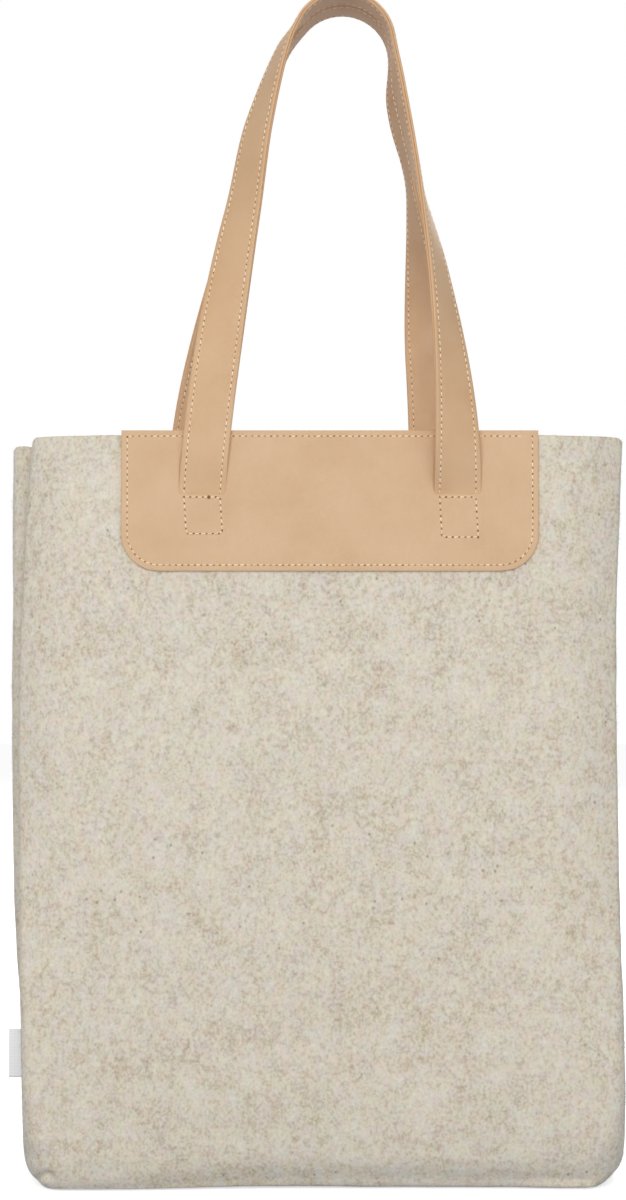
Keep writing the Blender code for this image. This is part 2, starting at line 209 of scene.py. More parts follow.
class Shading:
    """Lays out the nodes of one material.

    Attributes:
        material: The material that is being made.
        surface: Its Principled shader.
        place: The socket with a piece's own coordinates at rest.
    """

    def __init__(self, name: str) -> None:
        """Starts a material with the given name."""
        self.material = bpy.data.materials.new(name)
        self.material.use_nodes = True
        self.tree = self.material.node_tree
        self.surface = self.tree.nodes["Principled BSDF"]
        self.place = self.mark(REST, "Vector")

    def node(self, kind: str, inputs: dict | None = None, **settings: object) -> bpy.types.Node:
        """Adds one node.

        Args:
            kind: The node's type, without its usual prefix.
            inputs: Values to set or sockets to link, by input name or number.
            settings: The node's own properties.

        Returns:
            The node.
        """
        made = self.tree.nodes.new(f"ShaderNode{kind}")
        for name, value in settings.items():
            setattr(made, name, value)
        for name, value in (inputs or {}).items():
            if isinstance(value, bpy.types.NodeSocket):
                self.tree.links.new(value, made.inputs[name])
            else:
                made.inputs[name].default_value = value
        return made

    def mark(self, name: str, output: str = "Fac") -> bpy.types.NodeSocket:
        """A piece's own attribute, as a socket."""
        return self.node("Attribute", attribute_name=name).outputs[output]

    def noise(self, scale: float, detail: float, rough: float = 0.55, **settings: object) -> bpy.types.NodeSocket:
        """Cloudy noise on the piece's own coordinates.

        Args:
            scale: Waves in a metre.
            detail: Finer layers.
            rough: How strong the finer layers are.
            settings: The node's own properties.

        Returns:
            The noise, around a half.
        """
        inputs = {"Vector": self.place, "Scale": scale, "Detail": detail, "Roughness": rough}
        return self.node("TexNoise", inputs, **settings).outputs["Fac"]

    def stretch(self, scale: Colour) -> None:
        """Draws every pattern that follows out along the axes whose scale is below 1."""
        self.place = self.node("Mapping", {"Vector": self.place, "Scale": scale}).outputs["Vector"]

    def cells(self, scale: float, feature: str = "F1") -> bpy.types.Node:
        """A Voronoi node on the piece's own coordinates."""
        return self.node("TexVoronoi", {"Vector": self.place, "Scale": scale}, feature=feature)

    def sums(self, *parts: tuple[bpy.types.NodeSocket, float]) -> bpy.types.NodeSocket:
        """Adds sockets, each times its weight.

        Args:
            parts: Sockets and their weights.

        Returns:
            The weighted sum.
        """
        total = None
        for socket, weight in parts:
            inputs = {0: socket, 1: weight, 2: 0.0 if total is None else total}
            total = self.node("Math", inputs, operation="MULTIPLY_ADD").outputs[0]
        return total

    def times(self, first: bpy.types.NodeSocket, second: bpy.types.NodeSocket | float) -> bpy.types.NodeSocket:
        """The product of two values."""
        return self.node("Math", {0: first, 1: second}, operation="MULTIPLY").outputs[0]

    def ranged(
        self, value: bpy.types.NodeSocket, start: float, end: float, low: float = 0, high: float = 1
    ) -> bpy.types.NodeSocket:
        """Maps a value smoothly from one range to another.

        Args:
            value: The socket to map.
            start: The value that gives low.
            end: The value that gives high.
            low: The result at start.
            high: The result at end.

        Returns:
            The mapped socket.
        """
        inputs = {"Value": value, "From Min": start, "From Max": end, "To Min": low, "To Max": high}
        return self.node("MapRange", inputs, interpolation_type="SMOOTHSTEP").outputs["Result"]

    def ramp(self, value: bpy.types.NodeSocket, *stops: tuple[float, Colour]) -> bpy.types.NodeSocket:
        """Colours a value.

        Args:
            value: The socket to colour.
            stops: Places from 0 to 1 and their colours.

        Returns:
            The colour.
        """
        made = self.node("ValToRGB", {"Fac": value})
        elements = made.color_ramp.elements
        while len(elements) < len(stops):
            elements.new(0.5)
        for element, (position, colour) in zip(elements, stops):
            element.position = position
            element.color = (*colour, 1)
        return made.outputs["Color"]

    def mixed(
        self,
        share: bpy.types.NodeSocket | float,
        first: bpy.types.NodeSocket | Colour,
        second: bpy.types.NodeSocket | Colour,
        blend: str = "MIX",
    ) -> bpy.types.NodeSocket:
        """Mixes two colours.

        Args:
            share: How much of the second shows.
            first: The colour beneath.
            second: The colour on top.
            blend: The way they mix.

        Returns:
            The mixed colour.
        """
        colours = [c if isinstance(c, bpy.types.NodeSocket) else (*c, 1) for c in (first, second)]
        inputs = {0: share, 6: colours[0], 7: colours[1]}
        return self.node("Mix", inputs, data_type="RGBA", blend_type=blend).outputs[2]

    def bumped(self, height: bpy.types.NodeSocket, strength: float, distance: float) -> None:
        """Raises the surface by a height socket."""
        inputs = {"Height": height, "Strength": strength, "Distance": distance}
        self.wire("Normal", self.node("Bump", inputs).outputs["Normal"])

    def wire(self, name: str, value: bpy.types.NodeSocket) -> None:
        """Links a socket to an input of the surface."""
        self.tree.links.new(value, self.surface.inputs[name])

    def set(self, **values: float) -> None:
        """Sets constant inputs of the surface, named in lower case with underscores."""
        for name, value in values.items():
            words = name.replace("_", " ").title().replace("Ior", "IOR")
            self.surface.inputs[words].default_value = value


@dataclass(frozen=True)
class FeltFinish:
    """Mottled natural wool felt, matt and faintly hairy.

    Attributes:
        name: The material's name.
        pale: The lightest wool.
        body: The wool between.
        shade: The darker wool of the mottling.
        deep: Its darkest flecks.
        rosy: A redder cast that drifts through it.
        mossy: A greener cast.
        straw: A yellower cast.
        lilac: A bluer cast.
        speck: Stray dark fibres.
    """

    name: str = "wool_felt"
    pale: Colour = from_chart(238, 230, 215)
    body: Colour = from_chart(219, 210, 193)
    shade: Colour = from_chart(199, 185, 164)
    deep: Colour = from_chart(163, 141, 113)
    rosy: Colour = (1.0, 0.955, 0.98)
    mossy: Colour = (0.97, 1.0, 0.99)
    straw: Colour = (1.0, 0.987, 0.905)
    lilac: Colour = (0.98, 0.985, 1.0)
    speck: Colour = from_chart(128, 106, 80)

    def material(self) -> bpy.types.Material:
        """Makes the felt's material."""
        work = Shading(self.name)
        work.stretch((1, 1, 0.86))
        fleck = work.noise(620, 3, 0.62)
        mottle = work.noise(250, 3, 0.55)
        cloud = work.noise(60, 2)
        drift = work.noise(17, 2)
        strand = work.noise(330, 4, 0.6, noise_type="RIDGED_MULTIFRACTAL")
        tone = work.sums((fleck, 0.47), (mottle, 0.3), (cloud, 0.17), (drift, 0.06))
        wool = work.ramp(tone, (0.28, self.deep), (0.4, self.shade), (0.5, self.body), (0.7, self.pale))
        blush = work.ramp(work.noise(170, 2), (0.34, self.rosy), (0.66, self.mossy))
        straw = work.ramp(work.noise(130, 2, 0.6), (0.34, self.straw), (0.66, self.lilac))
        wool = work.mixed(1.0, work.mixed(1.0, wool, blush, "MULTIPLY"), straw, "MULTIPLY")
        hair = work.ranged(strand, 0.9, 1.7, 0, 0.25)
        wool = work.mixed(hair, wool, self.pale)
        cells = work.cells(150)
        rare = work.ranged(cells.outputs["Color"], 0.55, 0.75)
        dot = work.ranged(cells.outputs["Distance"], 0.16, 0.05)
        wool = work.mixed(work.times(work.times(dot, rare), 0.55), wool, self.speck)
        work.wire("Base Color", wool)
        work.bumped(work.sums((fleck, 0.7), (strand, 0.12), (mottle, 0.5)), 0.4, 0.9 * MM)
        work.set(roughness=0.96, specular_ior_level=0.12, sheen_weight=0.36, sheen_roughness=0.35)
        return work.material


@dataclass(frozen=True)
class LeatherFinish:
    """Smooth vegetable-tanned leather with a fine grain and burnished cut edges.

    Attributes:
        name: The material's name.
        pale: The lighter clouds of its colour.
        body: The colour between.
        warm: The deeper clouds of its colour.
        burnish: The rubbed cut edge.
        roughness: Its mean roughness.
    """

    name: str
    pale: Colour
    body: Colour
    warm: Colour
    burnish: Colour
    roughness: float

    def material(self) -> bpy.types.Material:
        """Makes the leather's material."""
        work = Shading(self.name)
        cloud = work.noise(34, 3)
        pores = work.noise(2600, 2)
        grain = work.cells(1150, "DISTANCE_TO_EDGE").outputs["Distance"]
        crease = work.noise(420, 3, 0.6)
        skin = work.ramp(cloud, (0.34, self.warm), (0.5, self.body), (0.66, self.pale))
        skin = work.mixed(work.ranged(pores, 0.36, 0.24, 0, 0.35), skin, self.burnish)
        edge = work.sums((work.mark(EDGE), 1.0), (crease, 0.5 * MM))
        skin = work.mixed(work.ranged(edge, 0.95 * MM, 0.2 * MM, 0, 0.75), skin, self.burnish)
        work.wire("Base Color", skin)
        work.wire("Roughness", work.ranged(crease, 0.3, 0.7, self.roughness - 0.06, self.roughness + 0.06))
        valley = work.ranged(grain, 0.0, 0.16)
        work.bumped(work.sums((valley, 0.5), (pores, 0.25), (crease, 0.6)), 0.28, 0.22 * MM)
        work.set(specular_ior_level=0.32)
        return work.material


@dataclass(frozen=True)
class ThreadFinish:
    """Waxed sewing thread, each stitch a little lighter or darker than the next.

    Attributes:
        name: The material's name.
        light: The lightest stitch.
        dark: The darkest stitch.
        roughness: Its roughness.
    """

    name: str
    light: Colour
    dark: Colour
    roughness: float = 0.6

    def material(self) -> bpy.types.Material:
        """Makes the thread's material."""
        work = Shading(self.name)
        shade = work.sums((work.mark(SHADE), 0.8), (work.noise(1400, 2), 0.3))
        work.wire("Base Color", work.ramp(shade, (0.1, self.dark), (0.9, self.light)))
        work.set(roughness=self.roughness, specular_ior_level=0.25)
        return work.material


@dataclass(frozen=True)
class TapeFinish:
    """Plain woven cotton tape, lightened to near full white with painted light.

    Attributes:
        name: The material's name.
        thread: The colour of its raised threads.
        gap: The colour between them.
        pitch: Threads in a metre.
    """

    name: str = "woven_tape"
    # near full white: painted light that offsets the shade the label sits in beside the side seam
    thread: Colour = from_chart(254, 254, 253)
    gap: Colour = from_chart(247, 247, 246)
    pitch: float = 3600

    def material(self) -> bpy.types.Material:
        """Makes the tape's material."""
        work = Shading(self.name)
        bands = []
        for axis in "XZ":
            inputs = {"Vector": work.place, "Scale": self.pitch / 20, "Distortion": 0.6, "Detail": 1.0}
            bands.append(work.node("TexWave", inputs, bands_direction=axis).outputs["Fac"])
        weave = work.sums((bands[0], 0.45), (bands[1], 0.45), (work.noise(500, 2), 0.2))
        work.wire("Base Color", work.ramp(weave, (0.2, self.gap), (0.75, self.thread)))
        work.bumped(weave, 0.5, 0.15 * MM)
        work.set(roughness=0.85, specular_ior_level=0.2)
        return work.material


FELT = FeltFinish()
LEATHER = LeatherFinish(
    name="tan_leather",
    pale=from_chart(213, 178, 139),
    body=from_chart(211, 175, 136),
    warm=from_chart(208, 171, 131),
    burnish=from_chart(210, 168, 126),
    roughness=0.52,
)
STRAP = LeatherFinish(
    name="strap_leather",
    pale=from_chart(212, 175, 135),
    body=from_chart(210, 172, 132),
    warm=from_chart(207, 168, 127),
    burnish=from_chart(216, 174, 131),
    roughness=0.52,
)
# lighter than the strap's face leather: painted light that offsets the shade on the straps' inner faces
LINING = LeatherFinish(
    name="lining_leather",
    pale=from_chart(220, 183, 146),
    body=from_chart(215, 177, 140),
    warm=from_chart(209, 170, 132),
    burnish=from_chart(204, 161, 119),
    roughness=0.62,
)
THREAD = ThreadFinish("sewing_thread", from_chart(250, 228, 196), from_chart(230, 198, 160))
# dark browns of the needle holes: painted shade of the holes' recesses, laid on flat discs
NEEDLE_HOLE_SHADE = ThreadFinish("needle_hole", from_chart(172, 128, 86), from_chart(126, 86, 50), 0.9)
LOOSE_WOOL = ThreadFinish("loose_wool", from_chart(236, 229, 215), from_chart(176, 162, 140), 0.95)
TAPE = TapeFinish()


LEGS = {
    Wall.FRONT: {
        Side.LEFT: LegShape(
            math.radians(40), math.radians(2), math.radians(4), 95 * MM, 30 * MM, 0.2, 1, 1.4,
            (0.48, 0.66), math.radians(-7), -2.4 * MM,
        ),
        Side.RIGHT: LegShape(
            math.radians(10), math.radians(16), 0, 95 * MM, 70 * MM, 0, 1, 2.2,
            (0.45, 0.75), math.radians(11), 1.6 * MM,
        ),
    },
    Wall.BACK: {
        Side.LEFT: LegShape(
            math.radians(40), math.radians(2), math.radians(5.5), 95 * MM, 30 * MM, 0.1, 0.75, 1.8,
            (0.48, 0.66), 0, -2.4 * MM,
        ),
        Side.RIGHT: LegShape(
            math.radians(10), math.radians(2), 0, 95 * MM, 70 * MM, 0.25, 0.74, 1.5,
            (0.64, 0.84), math.radians(-20), 1.5 * MM,
        ),
    },
}


class Stock:
    """Makes each finish's material once and hands it out."""

    _made: dict[str, bpy.types.Material] = {}

    @classmethod
    def of(cls, finish: FeltFinish | LeatherFinish | ThreadFinish | TapeFinish) -> bpy.types.Material:
        """The material of a finish."""
        if finish.name not in cls._made:
            cls._made[finish.name] = finish.material()
        return cls._made[finish.name]


def loft(
    rows: Sequence[Ring], closed: bool = True, capped: bool = True, edge: Sequence[float] | None = None
) -> bmesh.types.BMesh:
    """A skin through rows of points.

    Args:
        rows: The rows, each with as many points as the next.
        closed: Whether each row is a ring.
        capped: Whether open ends are filled.
        edge: For each point of a row, its distance from the cut edge.

    Returns:
        The skin, facing outwards.
    """
    columns = len(rows[0])
    spans = columns if closed else columns - 1
    shape = bmesh.new()
    mark = shape.verts.layers.float.new(EDGE)
    bmesh.ops.create_grid(shape, x_segments=spans, y_segments=len(rows) - 1, size=1)
    for vertex in shape.verts:
        column = round((vertex.co.x + 1) / 2 * spans) % columns
        row = round((vertex.co.y + 1) / 2 * (len(rows) - 1))
        vertex.co = rows[row][column]
        vertex[mark] = edge[column] if edge else 1.0
    bmesh.ops.remove_doubles(shape, verts=shape.verts, dist=WELD)
    if capped:
        bmesh.ops.holes_fill(shape, edges=shape.edges)
    bmesh.ops.recalc_face_normals(shape, faces=shape.faces)
    return shape


def make_piece(name: str, shape: bmesh.types.BMesh, material: bpy.types.Material) -> bpy.types.Object:
    """Turns a shape into an object at the origin.

    Args:
        name: The piece's name.
        shape: Its shape, which is freed.
        material: What it is made of.

    Returns:
        The object.
    """
    mesh = bpy.data.meshes.new(name)
    shape.to_mesh(mesh)
    shape.free()
    mesh.materials.append(material)
    mesh.shade_smooth()
    piece = bpy.data.objects.new(name, mesh)
    bpy.context.scene.collection.objects.link(piece)
    return piece


def settle(piece: bpy.types.Object) -> bpy.types.Object:
    """Makes a piece's modifiers its own mesh, and marks where each point is at rest.

    Args:
        piece: The piece.

    Returns:
        The same piece.
    """
    graph = bpy.context.evaluated_depsgraph_get()
    solid = piece.evaluated_get(graph)
    mesh = bpy.data.meshes.new_from_object(solid, preserve_all_data_layers=True, depsgraph=graph)
    piece.modifiers.clear()
    piece.data = mesh
    places = np.empty(len(mesh.vertices) * 3, np.float32)
    mesh.vertices.foreach_get("co", places)
    mesh.attributes.new(REST, "FLOAT_VECTOR", "POINT").data.foreach_set("vector", places)
    LOG.info("%s: %d faces", piece.name, len(mesh.polygons))
    return piece


def thicken(piece: bpy.types.Object, thickness: float) -> None:
    """Gives a one-sided sheet its thickness, behind its face."""
    sheet = piece.modifiers.new("thickness", "SOLIDIFY")
    sheet.thickness = thickness
    sheet.offset = -1


def soften(piece: bpy.types.Object, width: float) -> None:
    """Rounds a piece's sharp edges."""
    edges = piece.modifiers.new("soft_edges", "BEVEL")
    edges.width = width
    edges.segments = 2
    edges.limit_method = "ANGLE"
    edges.angle_limit = math.radians(50)
    edges.use_clamp_overlap = True


class Stamp:
    """A small shape that is set down many times, each time with its own cell of the bake map.

    Attributes:
        points: The shape's points, one to a row.
        mesh: The mesh that is moved and added at each setting.
    """

    def __init__(self, shape: bmesh.types.BMesh) -> None:
        """Keeps a shape that has the bake map, and frees it."""
        self.mesh = bpy.data.meshes.new("stamp")
        shape.to_mesh(self.mesh)
        shape.free()
        count = len(self.mesh.vertices)
        flat = np.empty(count * 3, np.float32)
        self.mesh.vertices.foreach_get("co", flat)
        self.points = np.c_[flat.reshape(-1, 3), np.ones(count, np.float32)]
        spots = np.empty(len(self.mesh.loops) * 2, np.float32)
        self.mesh.uv_layers[BAKE_MAP].uv.foreach_get("vector", spots)
        self.spots = spots.reshape(-1, 2).clip(0.05, 0.95)
        self.mesh.attributes.new(SHADE, "FLOAT", "POINT")

    def put(self, shape: bmesh.types.BMesh, place: Matrix, shade: float, cell: tuple[int, int], cells: int) -> None:
        """Adds the shape once.

        Args:
            shape: What it is added to.
            place: Where it goes.
            shade: How light it is, from 0 to 1.
            cell: Its column and row in the bake map.
            cells: How many columns and rows the map has.
        """
        moved = self.points @ np.array(place, np.float32).T
        self.mesh.vertices.foreach_set("co", moved[:, :3].ravel())
        spots = (self.spots + np.array(cell, np.float32)) / cells
        self.mesh.uv_layers[BAKE_MAP].uv.foreach_set("vector", spots.ravel())
        self.mesh.attributes[SHADE].data.foreach_set("value", np.full(len(moved), shade, np.float32))
        shape.from_mesh(self.mesh)


def stamped(name: str, stamp: Stamp, places: Sequence[Matrix], material: bpy.types.Material) -> bpy.types.Object:
    """One piece made of a stamp set down in many places.

    Args:
        name: The piece's name.
        stamp: The shape.
        places: Where it goes.
        material: What it is made of.

    Returns:
        The settled piece.
    """
    chance = random.Random(name)
    cells = math.ceil(math.sqrt(len(places)))
    shape = bmesh.new()
    for index, place in enumerate(places):
        stamp.put(shape, place, chance.random(), (index % cells, index // cells), cells)
    return settle(make_piece(name, shape, material))


def stitch_stamp() -> Stamp:
    """One stitch, a metre long: a low oval bead of thread."""
    shape = bmesh.new()
    shape.loops.layers.uv.new(BAKE_MAP)
    bmesh.ops.create_uvsphere(shape, u_segments=7, v_segments=5, radius=0.5, calc_uvs=True)
    bmesh.ops.rotate(shape, verts=shape.verts, cent=Vector(), matrix=Matrix.Rotation(math.pi / 2, 3, "Y"))
    return Stamp(shape)


def hole_stamp() -> Stamp:
    """One needle hole, a metre across: a flat disc that carries the hole's painted shade."""
    shape = bmesh.new()
    shape.loops.layers.uv.new(BAKE_MAP)
    bmesh.ops.create_circle(shape, cap_ends=True, segments=8, radius=0.5, calc_uvs=True)
    return Stamp(shape)


def hair_stamp() -> Stamp:
    """One loose fibre, a metre long: a tapered three-sided hair that bends over."""
    shape = bmesh.new()
    shape.loops.layers.uv.new(BAKE_MAP)
    bmesh.ops.create_cone(
        shape, cap_ends=False, segments=3, radius1=0.5, radius2=0.15, depth=1, calc_uvs=True
    )
    ring = [edge for edge in shape.edges if abs(edge.verts[0].co.z - edge.verts[1].co.z) > 0.5]
    bmesh.ops.subdivide_edges(shape, edges=ring, cuts=1, use_grid_fill=True)
    for vertex in shape.verts:
        height = vertex.co.z + 0.5
        vertex.co.z = height * (1 - 0.25 * height)
        vertex.co.x += 12 * height * height
    return Stamp(shape)


class Spot(NamedTuple):
    """A place on a surface: the point, and the way out of the surface there."""

    point: Vector
    out: Vector


@dataclass
class Sewing:
    """Gathers the stitches and needle holes of one piece; the holes are flat discs of painted shade.

    Attributes:
        name: The first words of its pieces' names.
        pitch: The length of a stitch with its hole.
        thickness: The thread's thickness.
        hole: The needle hole's width.
        slant: How far a stitch is turned out of its row.
    """

    name: str
    pitch: float = 3.35 * MM
    thickness: float = 0.85 * MM
    hole: float = 1.25 * MM
    slant: float = math.radians(7)
    stitches: list[Matrix] = field(default_factory=list)
    holes: list[Matrix] = field(default_factory=list)

    def row(self, path: Sequence[Spot], sunk: float = 0.0) -> None:
        """Sews along a path.

        Args:
            path: Places close together along the row.
            sunk: How deep the thread is pulled into a soft surface.
        """
        chance = random.Random(f"{self.name}{len(self.stitches)}")
        points = np.array([spot.point for spot in path])
        outs = np.array([spot.out for spot in path])
        ways = np.r_[0, np.cumsum(np.linalg.norm(np.diff(points, axis=0), axis=1))]
        count = max(round(ways[-1] / self.pitch), 1)
        stops = np.linspace(0, ways[-1], count + 1)
        at = np.stack([np.interp(stops, ways, points[:, axis]) for axis in range(3)], 1)
        facing = np.stack([np.interp(stops, ways, outs[:, axis]) for axis in range(3)], 1)
        for number in range(count):
            start, end = Vector(at[number]), Vector(at[number + 1])
            out = Vector(facing[number]).normalized()
            # each hole is a flat disc of painted shade
            self.holes.append(self.set_down(start, end - start, out, 0.04 * MM - sunk, 0, self.hole_size(chance)))
            turn = self.slant + math.radians(chance.uniform(-4, 4))
            size = Vector(((end - start).length * chance.uniform(0.7, 0.78), self.thickness, self.thickness * 0.8))
            self.stitches.append(self.set_down((start + end) / 2, end - start, out, 0.08 * MM - sunk, turn, size))

    def pierce(self, spot: Spot, along: Vector, width: float) -> None:
        """Adds one needle hole of its own width, clear of its stitches, as a disc of painted shade.

        Args:
            spot: The place.
            along: The way its row runs.
            width: The hole's width.
        """
        self.holes.append(self.set_down(spot.point, along, spot.out, 0.5 * MM, 0, Vector((width, width, 1))))

    def hole_size(self, chance: random.Random) -> Vector:
        """A hole's length and width, drawn out a little along the row."""
        scale = self.hole * chance.uniform(0.8, 1.15)
        return Vector((scale * 1.15, scale * 0.8, 1))

    def set_down(self, at: Vector, along: Vector, out: Vector, lift: float, turn: float, size: Vector) -> Matrix:
        """The place of one stitch or hole.

        Args:
            at: The middle of it, on the surface.
            along: The way the row runs.
            out: The way out of the surface.
            lift: How far it stands off the surface.
            turn: How far it is turned out of the row.
            size: Its length, width and height.

        Returns:
            The matrix that puts a stamp there.
        """
        along = (along - out * along.dot(out)).normalized()
        frame_axes = Matrix((along, out.cross(along), out)).transposed().to_4x4()
        spin = Matrix.Rotation(turn, 4, "Z")
        return Matrix.Translation(at + out * lift) @ frame_axes @ spin @ Matrix.Diagonal((*size, 1))

    def pieces(self) -> list[bpy.types.Object]:
        """Makes the thread and its needle holes, the holes as discs of painted shade."""
        return [
            stamped(f"{self.name}_thread", stitch_stamp(), self.stitches, Stock.of(THREAD)),
            stamped(f"{self.name}_needle_holes", hole_stamp(), self.holes, Stock.of(NEEDLE_HOLE_SHADE)),
        ]


@dataclass(frozen=True)
class FoldLine:
    """Where one wall's side fold hangs.

    Attributes:
        foot: Its place across the bag at the base.
        head: Its place at the rim.
        belly: How far it hangs out between them.
        lean: Above 1, the belly sits higher.
    """

    foot: float
    head: float
    belly: float
    lean: float = 1.0

    def across(self, share: float) -> float:
        """Its place at a share of the wall's height."""
        share = min(max(share, 0), 1)
        return self.foot + (self.head - self.foot) * share + self.belly * math.sin(math.pi * share**self.lean)


@dataclass(frozen=True)
class BagForm:
    """The hanging bag's shape, which every piece follows.

    Attributes:
        height: The rim's height.
        base_depth: The depth over the base.
        mouth_depth: The depth at the rim.
        patch_width: The patches' width.
        felt: The felt's thickness.
        base_radius: The rounding of the base's edge.
        base_corner: How much wider the base's corners are in plan.
        front_corner: The rounding of the front wall's side folds at the rim.
        back_corner: The rounding of the back wall's side folds at the rim.
        side_curl: How far the walls curl in towards the side folds at the rim.
        curl_reach: How far from a fold a wall begins to curl.
        corner_closing: How fast the side folds close above the base.
        back_shift: How far the back wall hangs to the side at the rim.
        patch_height: The patches' height.
        patch_corner: The rounding of their lower corners.
        patch_stand: How far they stand over the rim.
        patch_front: How far their face is from the felt.
        strap_width: The straps' width.
        strap_inset: From a patch's end to the strap's edge.
        slit_drop: From a patch's top to its slits.
        folds: Where the side folds hang.
    """

    height: float
    base_depth: float
    patch_width: float
    mouth_depth: float = 50 * MM
    felt: float = 3 * MM
    base_radius: float = 18 * MM
    base_corner: float = 3 * MM
    front_corner: float = 5 * MM
    back_corner: float = 7 * MM
    side_curl: float = 12 * MM
    curl_reach: float = 36 * MM
    corner_closing: float = 3
    back_shift: float = -12 * MM
    patch_height: float = 75 * MM
    patch_corner: float = 20 * MM
    patch_stand: float = 3 * MM
    patch_front: float = 2.1 * MM
    strap_width: float = 25 * MM
    strap_inset: float = 30.5 * MM
    slit_drop: float = 33 * MM
    folds: dict = field(
        default_factory=lambda: {
            (Wall.FRONT, Side.LEFT): FoldLine(-164.2 * MM, -160 * MM, -5.6 * MM, 1.5),
            (Wall.FRONT, Side.RIGHT): FoldLine(157.6 * MM, 157.8 * MM, -3.5 * MM, 1.3),
            (Wall.BACK, Side.LEFT): FoldLine(-164.2 * MM, -172.2 * MM, -6.5 * MM, 0.65),
            (Wall.BACK, Side.RIGHT): FoldLine(157.6 * MM, 147 * MM, -3.8 * MM, 1.3),
        }
    )

    @classmethod
    def from_frame(cls) -> "BagForm":
        """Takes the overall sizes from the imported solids."""
        base_low, base_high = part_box("base_panel")
        patch_low, patch_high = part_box("front_patch")
        return cls(
            height=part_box("front_panel")[1].z,
            base_depth=base_high.y - base_low.y,
            patch_width=patch_high.x - patch_low.x,
        )

    @property
    def rise(self) -> float:
        """The walls' height over the rounded base."""
        return self.height - self.base_radius

    @property
    def lean(self) -> float:
        """How far the walls lean in."""
        return math.atan2((self.base_depth - self.mouth_depth) / 2, self.rise)

    @property
    def patch_top(self) -> float:
        """The patches' top, up along the wall."""
        return self.rise / math.cos(self.lean) + self.patch_stand

    @property
    def slit_top(self) -> float:
        """The slits' top, up along the wall."""
        return self.patch_top - self.slit_drop

    def share(self, z: float) -> float:
        """A height as a share of the wall."""
        return (z - self.base_radius) / self.rise

    def half_depth(self, z: float) -> float:
        """Half the bag's depth at a height."""
        return (self.base_depth + (self.mouth_depth - self.base_depth) * self.share(z)) / 2

    def fold_half(self, z: float) -> float:
        """Half the depth between the side folds at a height, where the walls have curled in."""
        return self.half_depth(z) - self.side_curl * eased(0, 0.6, self.share(z))

    def curl_slope(self, z: float) -> float:
        """The angle at which a wall runs into its side fold."""
        return math.atan2(2 * (self.half_depth(z) - self.fold_half(z)), self.curl_reach)

    def fold_depth(self, z: float) -> float:
        """How far the side seam is folded in, for a gusset that keeps the width of the base."""
        return math.sqrt(max((self.base_depth / 2) ** 2 - self.fold_half(z) ** 2, 0))

    def corner_radius(self, z: float, wall: Wall) -> float:
        """The rounding of a wall's side folds, tighter the further the seam is folded in."""
        base = self.base_radius + self.base_corner
        mouth = self.front_corner if wall is Wall.FRONT else self.back_corner
        folded = self.fold_depth(z) / self.fold_depth(self.height)
        return mouth + (base - mouth) * (1 - folded) ** self.corner_closing

    def fold_across(self, z: float, side: Side, wall: Wall) -> float:
        """Where a side fold hangs at a height."""
        return self.folds[wall, side].across(self.share(z))

    def seam_across(self, z: float, side: Side) -> float:
        """Where a side seam hangs at a height."""
        middle = sum(self.fold_across(z, side, wall) for wall in Wall) / 2
        return middle - side.value * self.fold_depth(z)

    def corner_point(self, z: float, side: Side, wall: Wall, share: float) -> Vector:
        """A point of the soft fold beside a wall.

        Args:
            z: The height.
            side: The side of the bag.
            wall: The wall.
            share: 0 on the wall, 1 where the gusset begins.

        Returns:
            The point on the felt's outer face.
        """
        radius = self.corner_radius(z, wall)
        fold = self.fold_across(z, side, wall)
        centre = Vector((fold - side.value * radius, wall.value * (self.fold_half(z) - radius)))
        reach = side.value * (self.seam_across(z, side) - centre.x)
        height = wall.value * centre.y
        past = math.atan2(height, reach) - math.acos(min(radius / math.hypot(reach, height), 1))
        start = math.pi / 2 - self.curl_slope(z)
        angle = start - share * (start + past)
        point = centre + radius * Vector((side.value * math.cos(angle), wall.value * math.sin(angle)))
        return Vector((*point, z))

    def on_wall(self, wall: Wall, across: float, up: float, out: float) -> Vector:
        """A point by its place on a wall.

        Args:
            wall: The wall.
            across: Its place along X.
            up: Its way up the wall's slope from the base.
            out: Its distance out of the felt.

        Returns:
            The point.
        """
        depth = self.base_depth / 2 - up * math.sin(self.lean) + out * math.cos(self.lean)
        height = self.base_radius + up * math.cos(self.lean) + out * math.sin(self.lean)
        return Vector((across, wall.value * depth, height))

    def out_of(self, wall: Wall) -> Vector:
        """The way straight out of a wall."""
        return Vector((0, wall.value * math.cos(self.lean), math.sin(self.lean)))

    def up_wall(self, wall: Wall) -> Vector:
        """The way straight up a wall's slope."""
        return Vector((0, -wall.value * math.sin(self.lean), math.cos(self.lean)))

    def patch_centre(self, wall: Wall) -> float:
        """The middle of a patch along X: the back one hangs over with its wall."""
        middle = self.base_radius + (self.patch_top - self.patch_height / 2) * math.cos(self.lean)
        return self.back_shift * self.share(middle) if wall is Wall.BACK else 0

    def strap_across(self, wall: Wall, side: Side) -> float:
        """The middle of a strap's slit along X."""
        return self.patch_centre(wall) + side.value * ((self.patch_width - self.strap_width) / 2 - self.strap_inset)


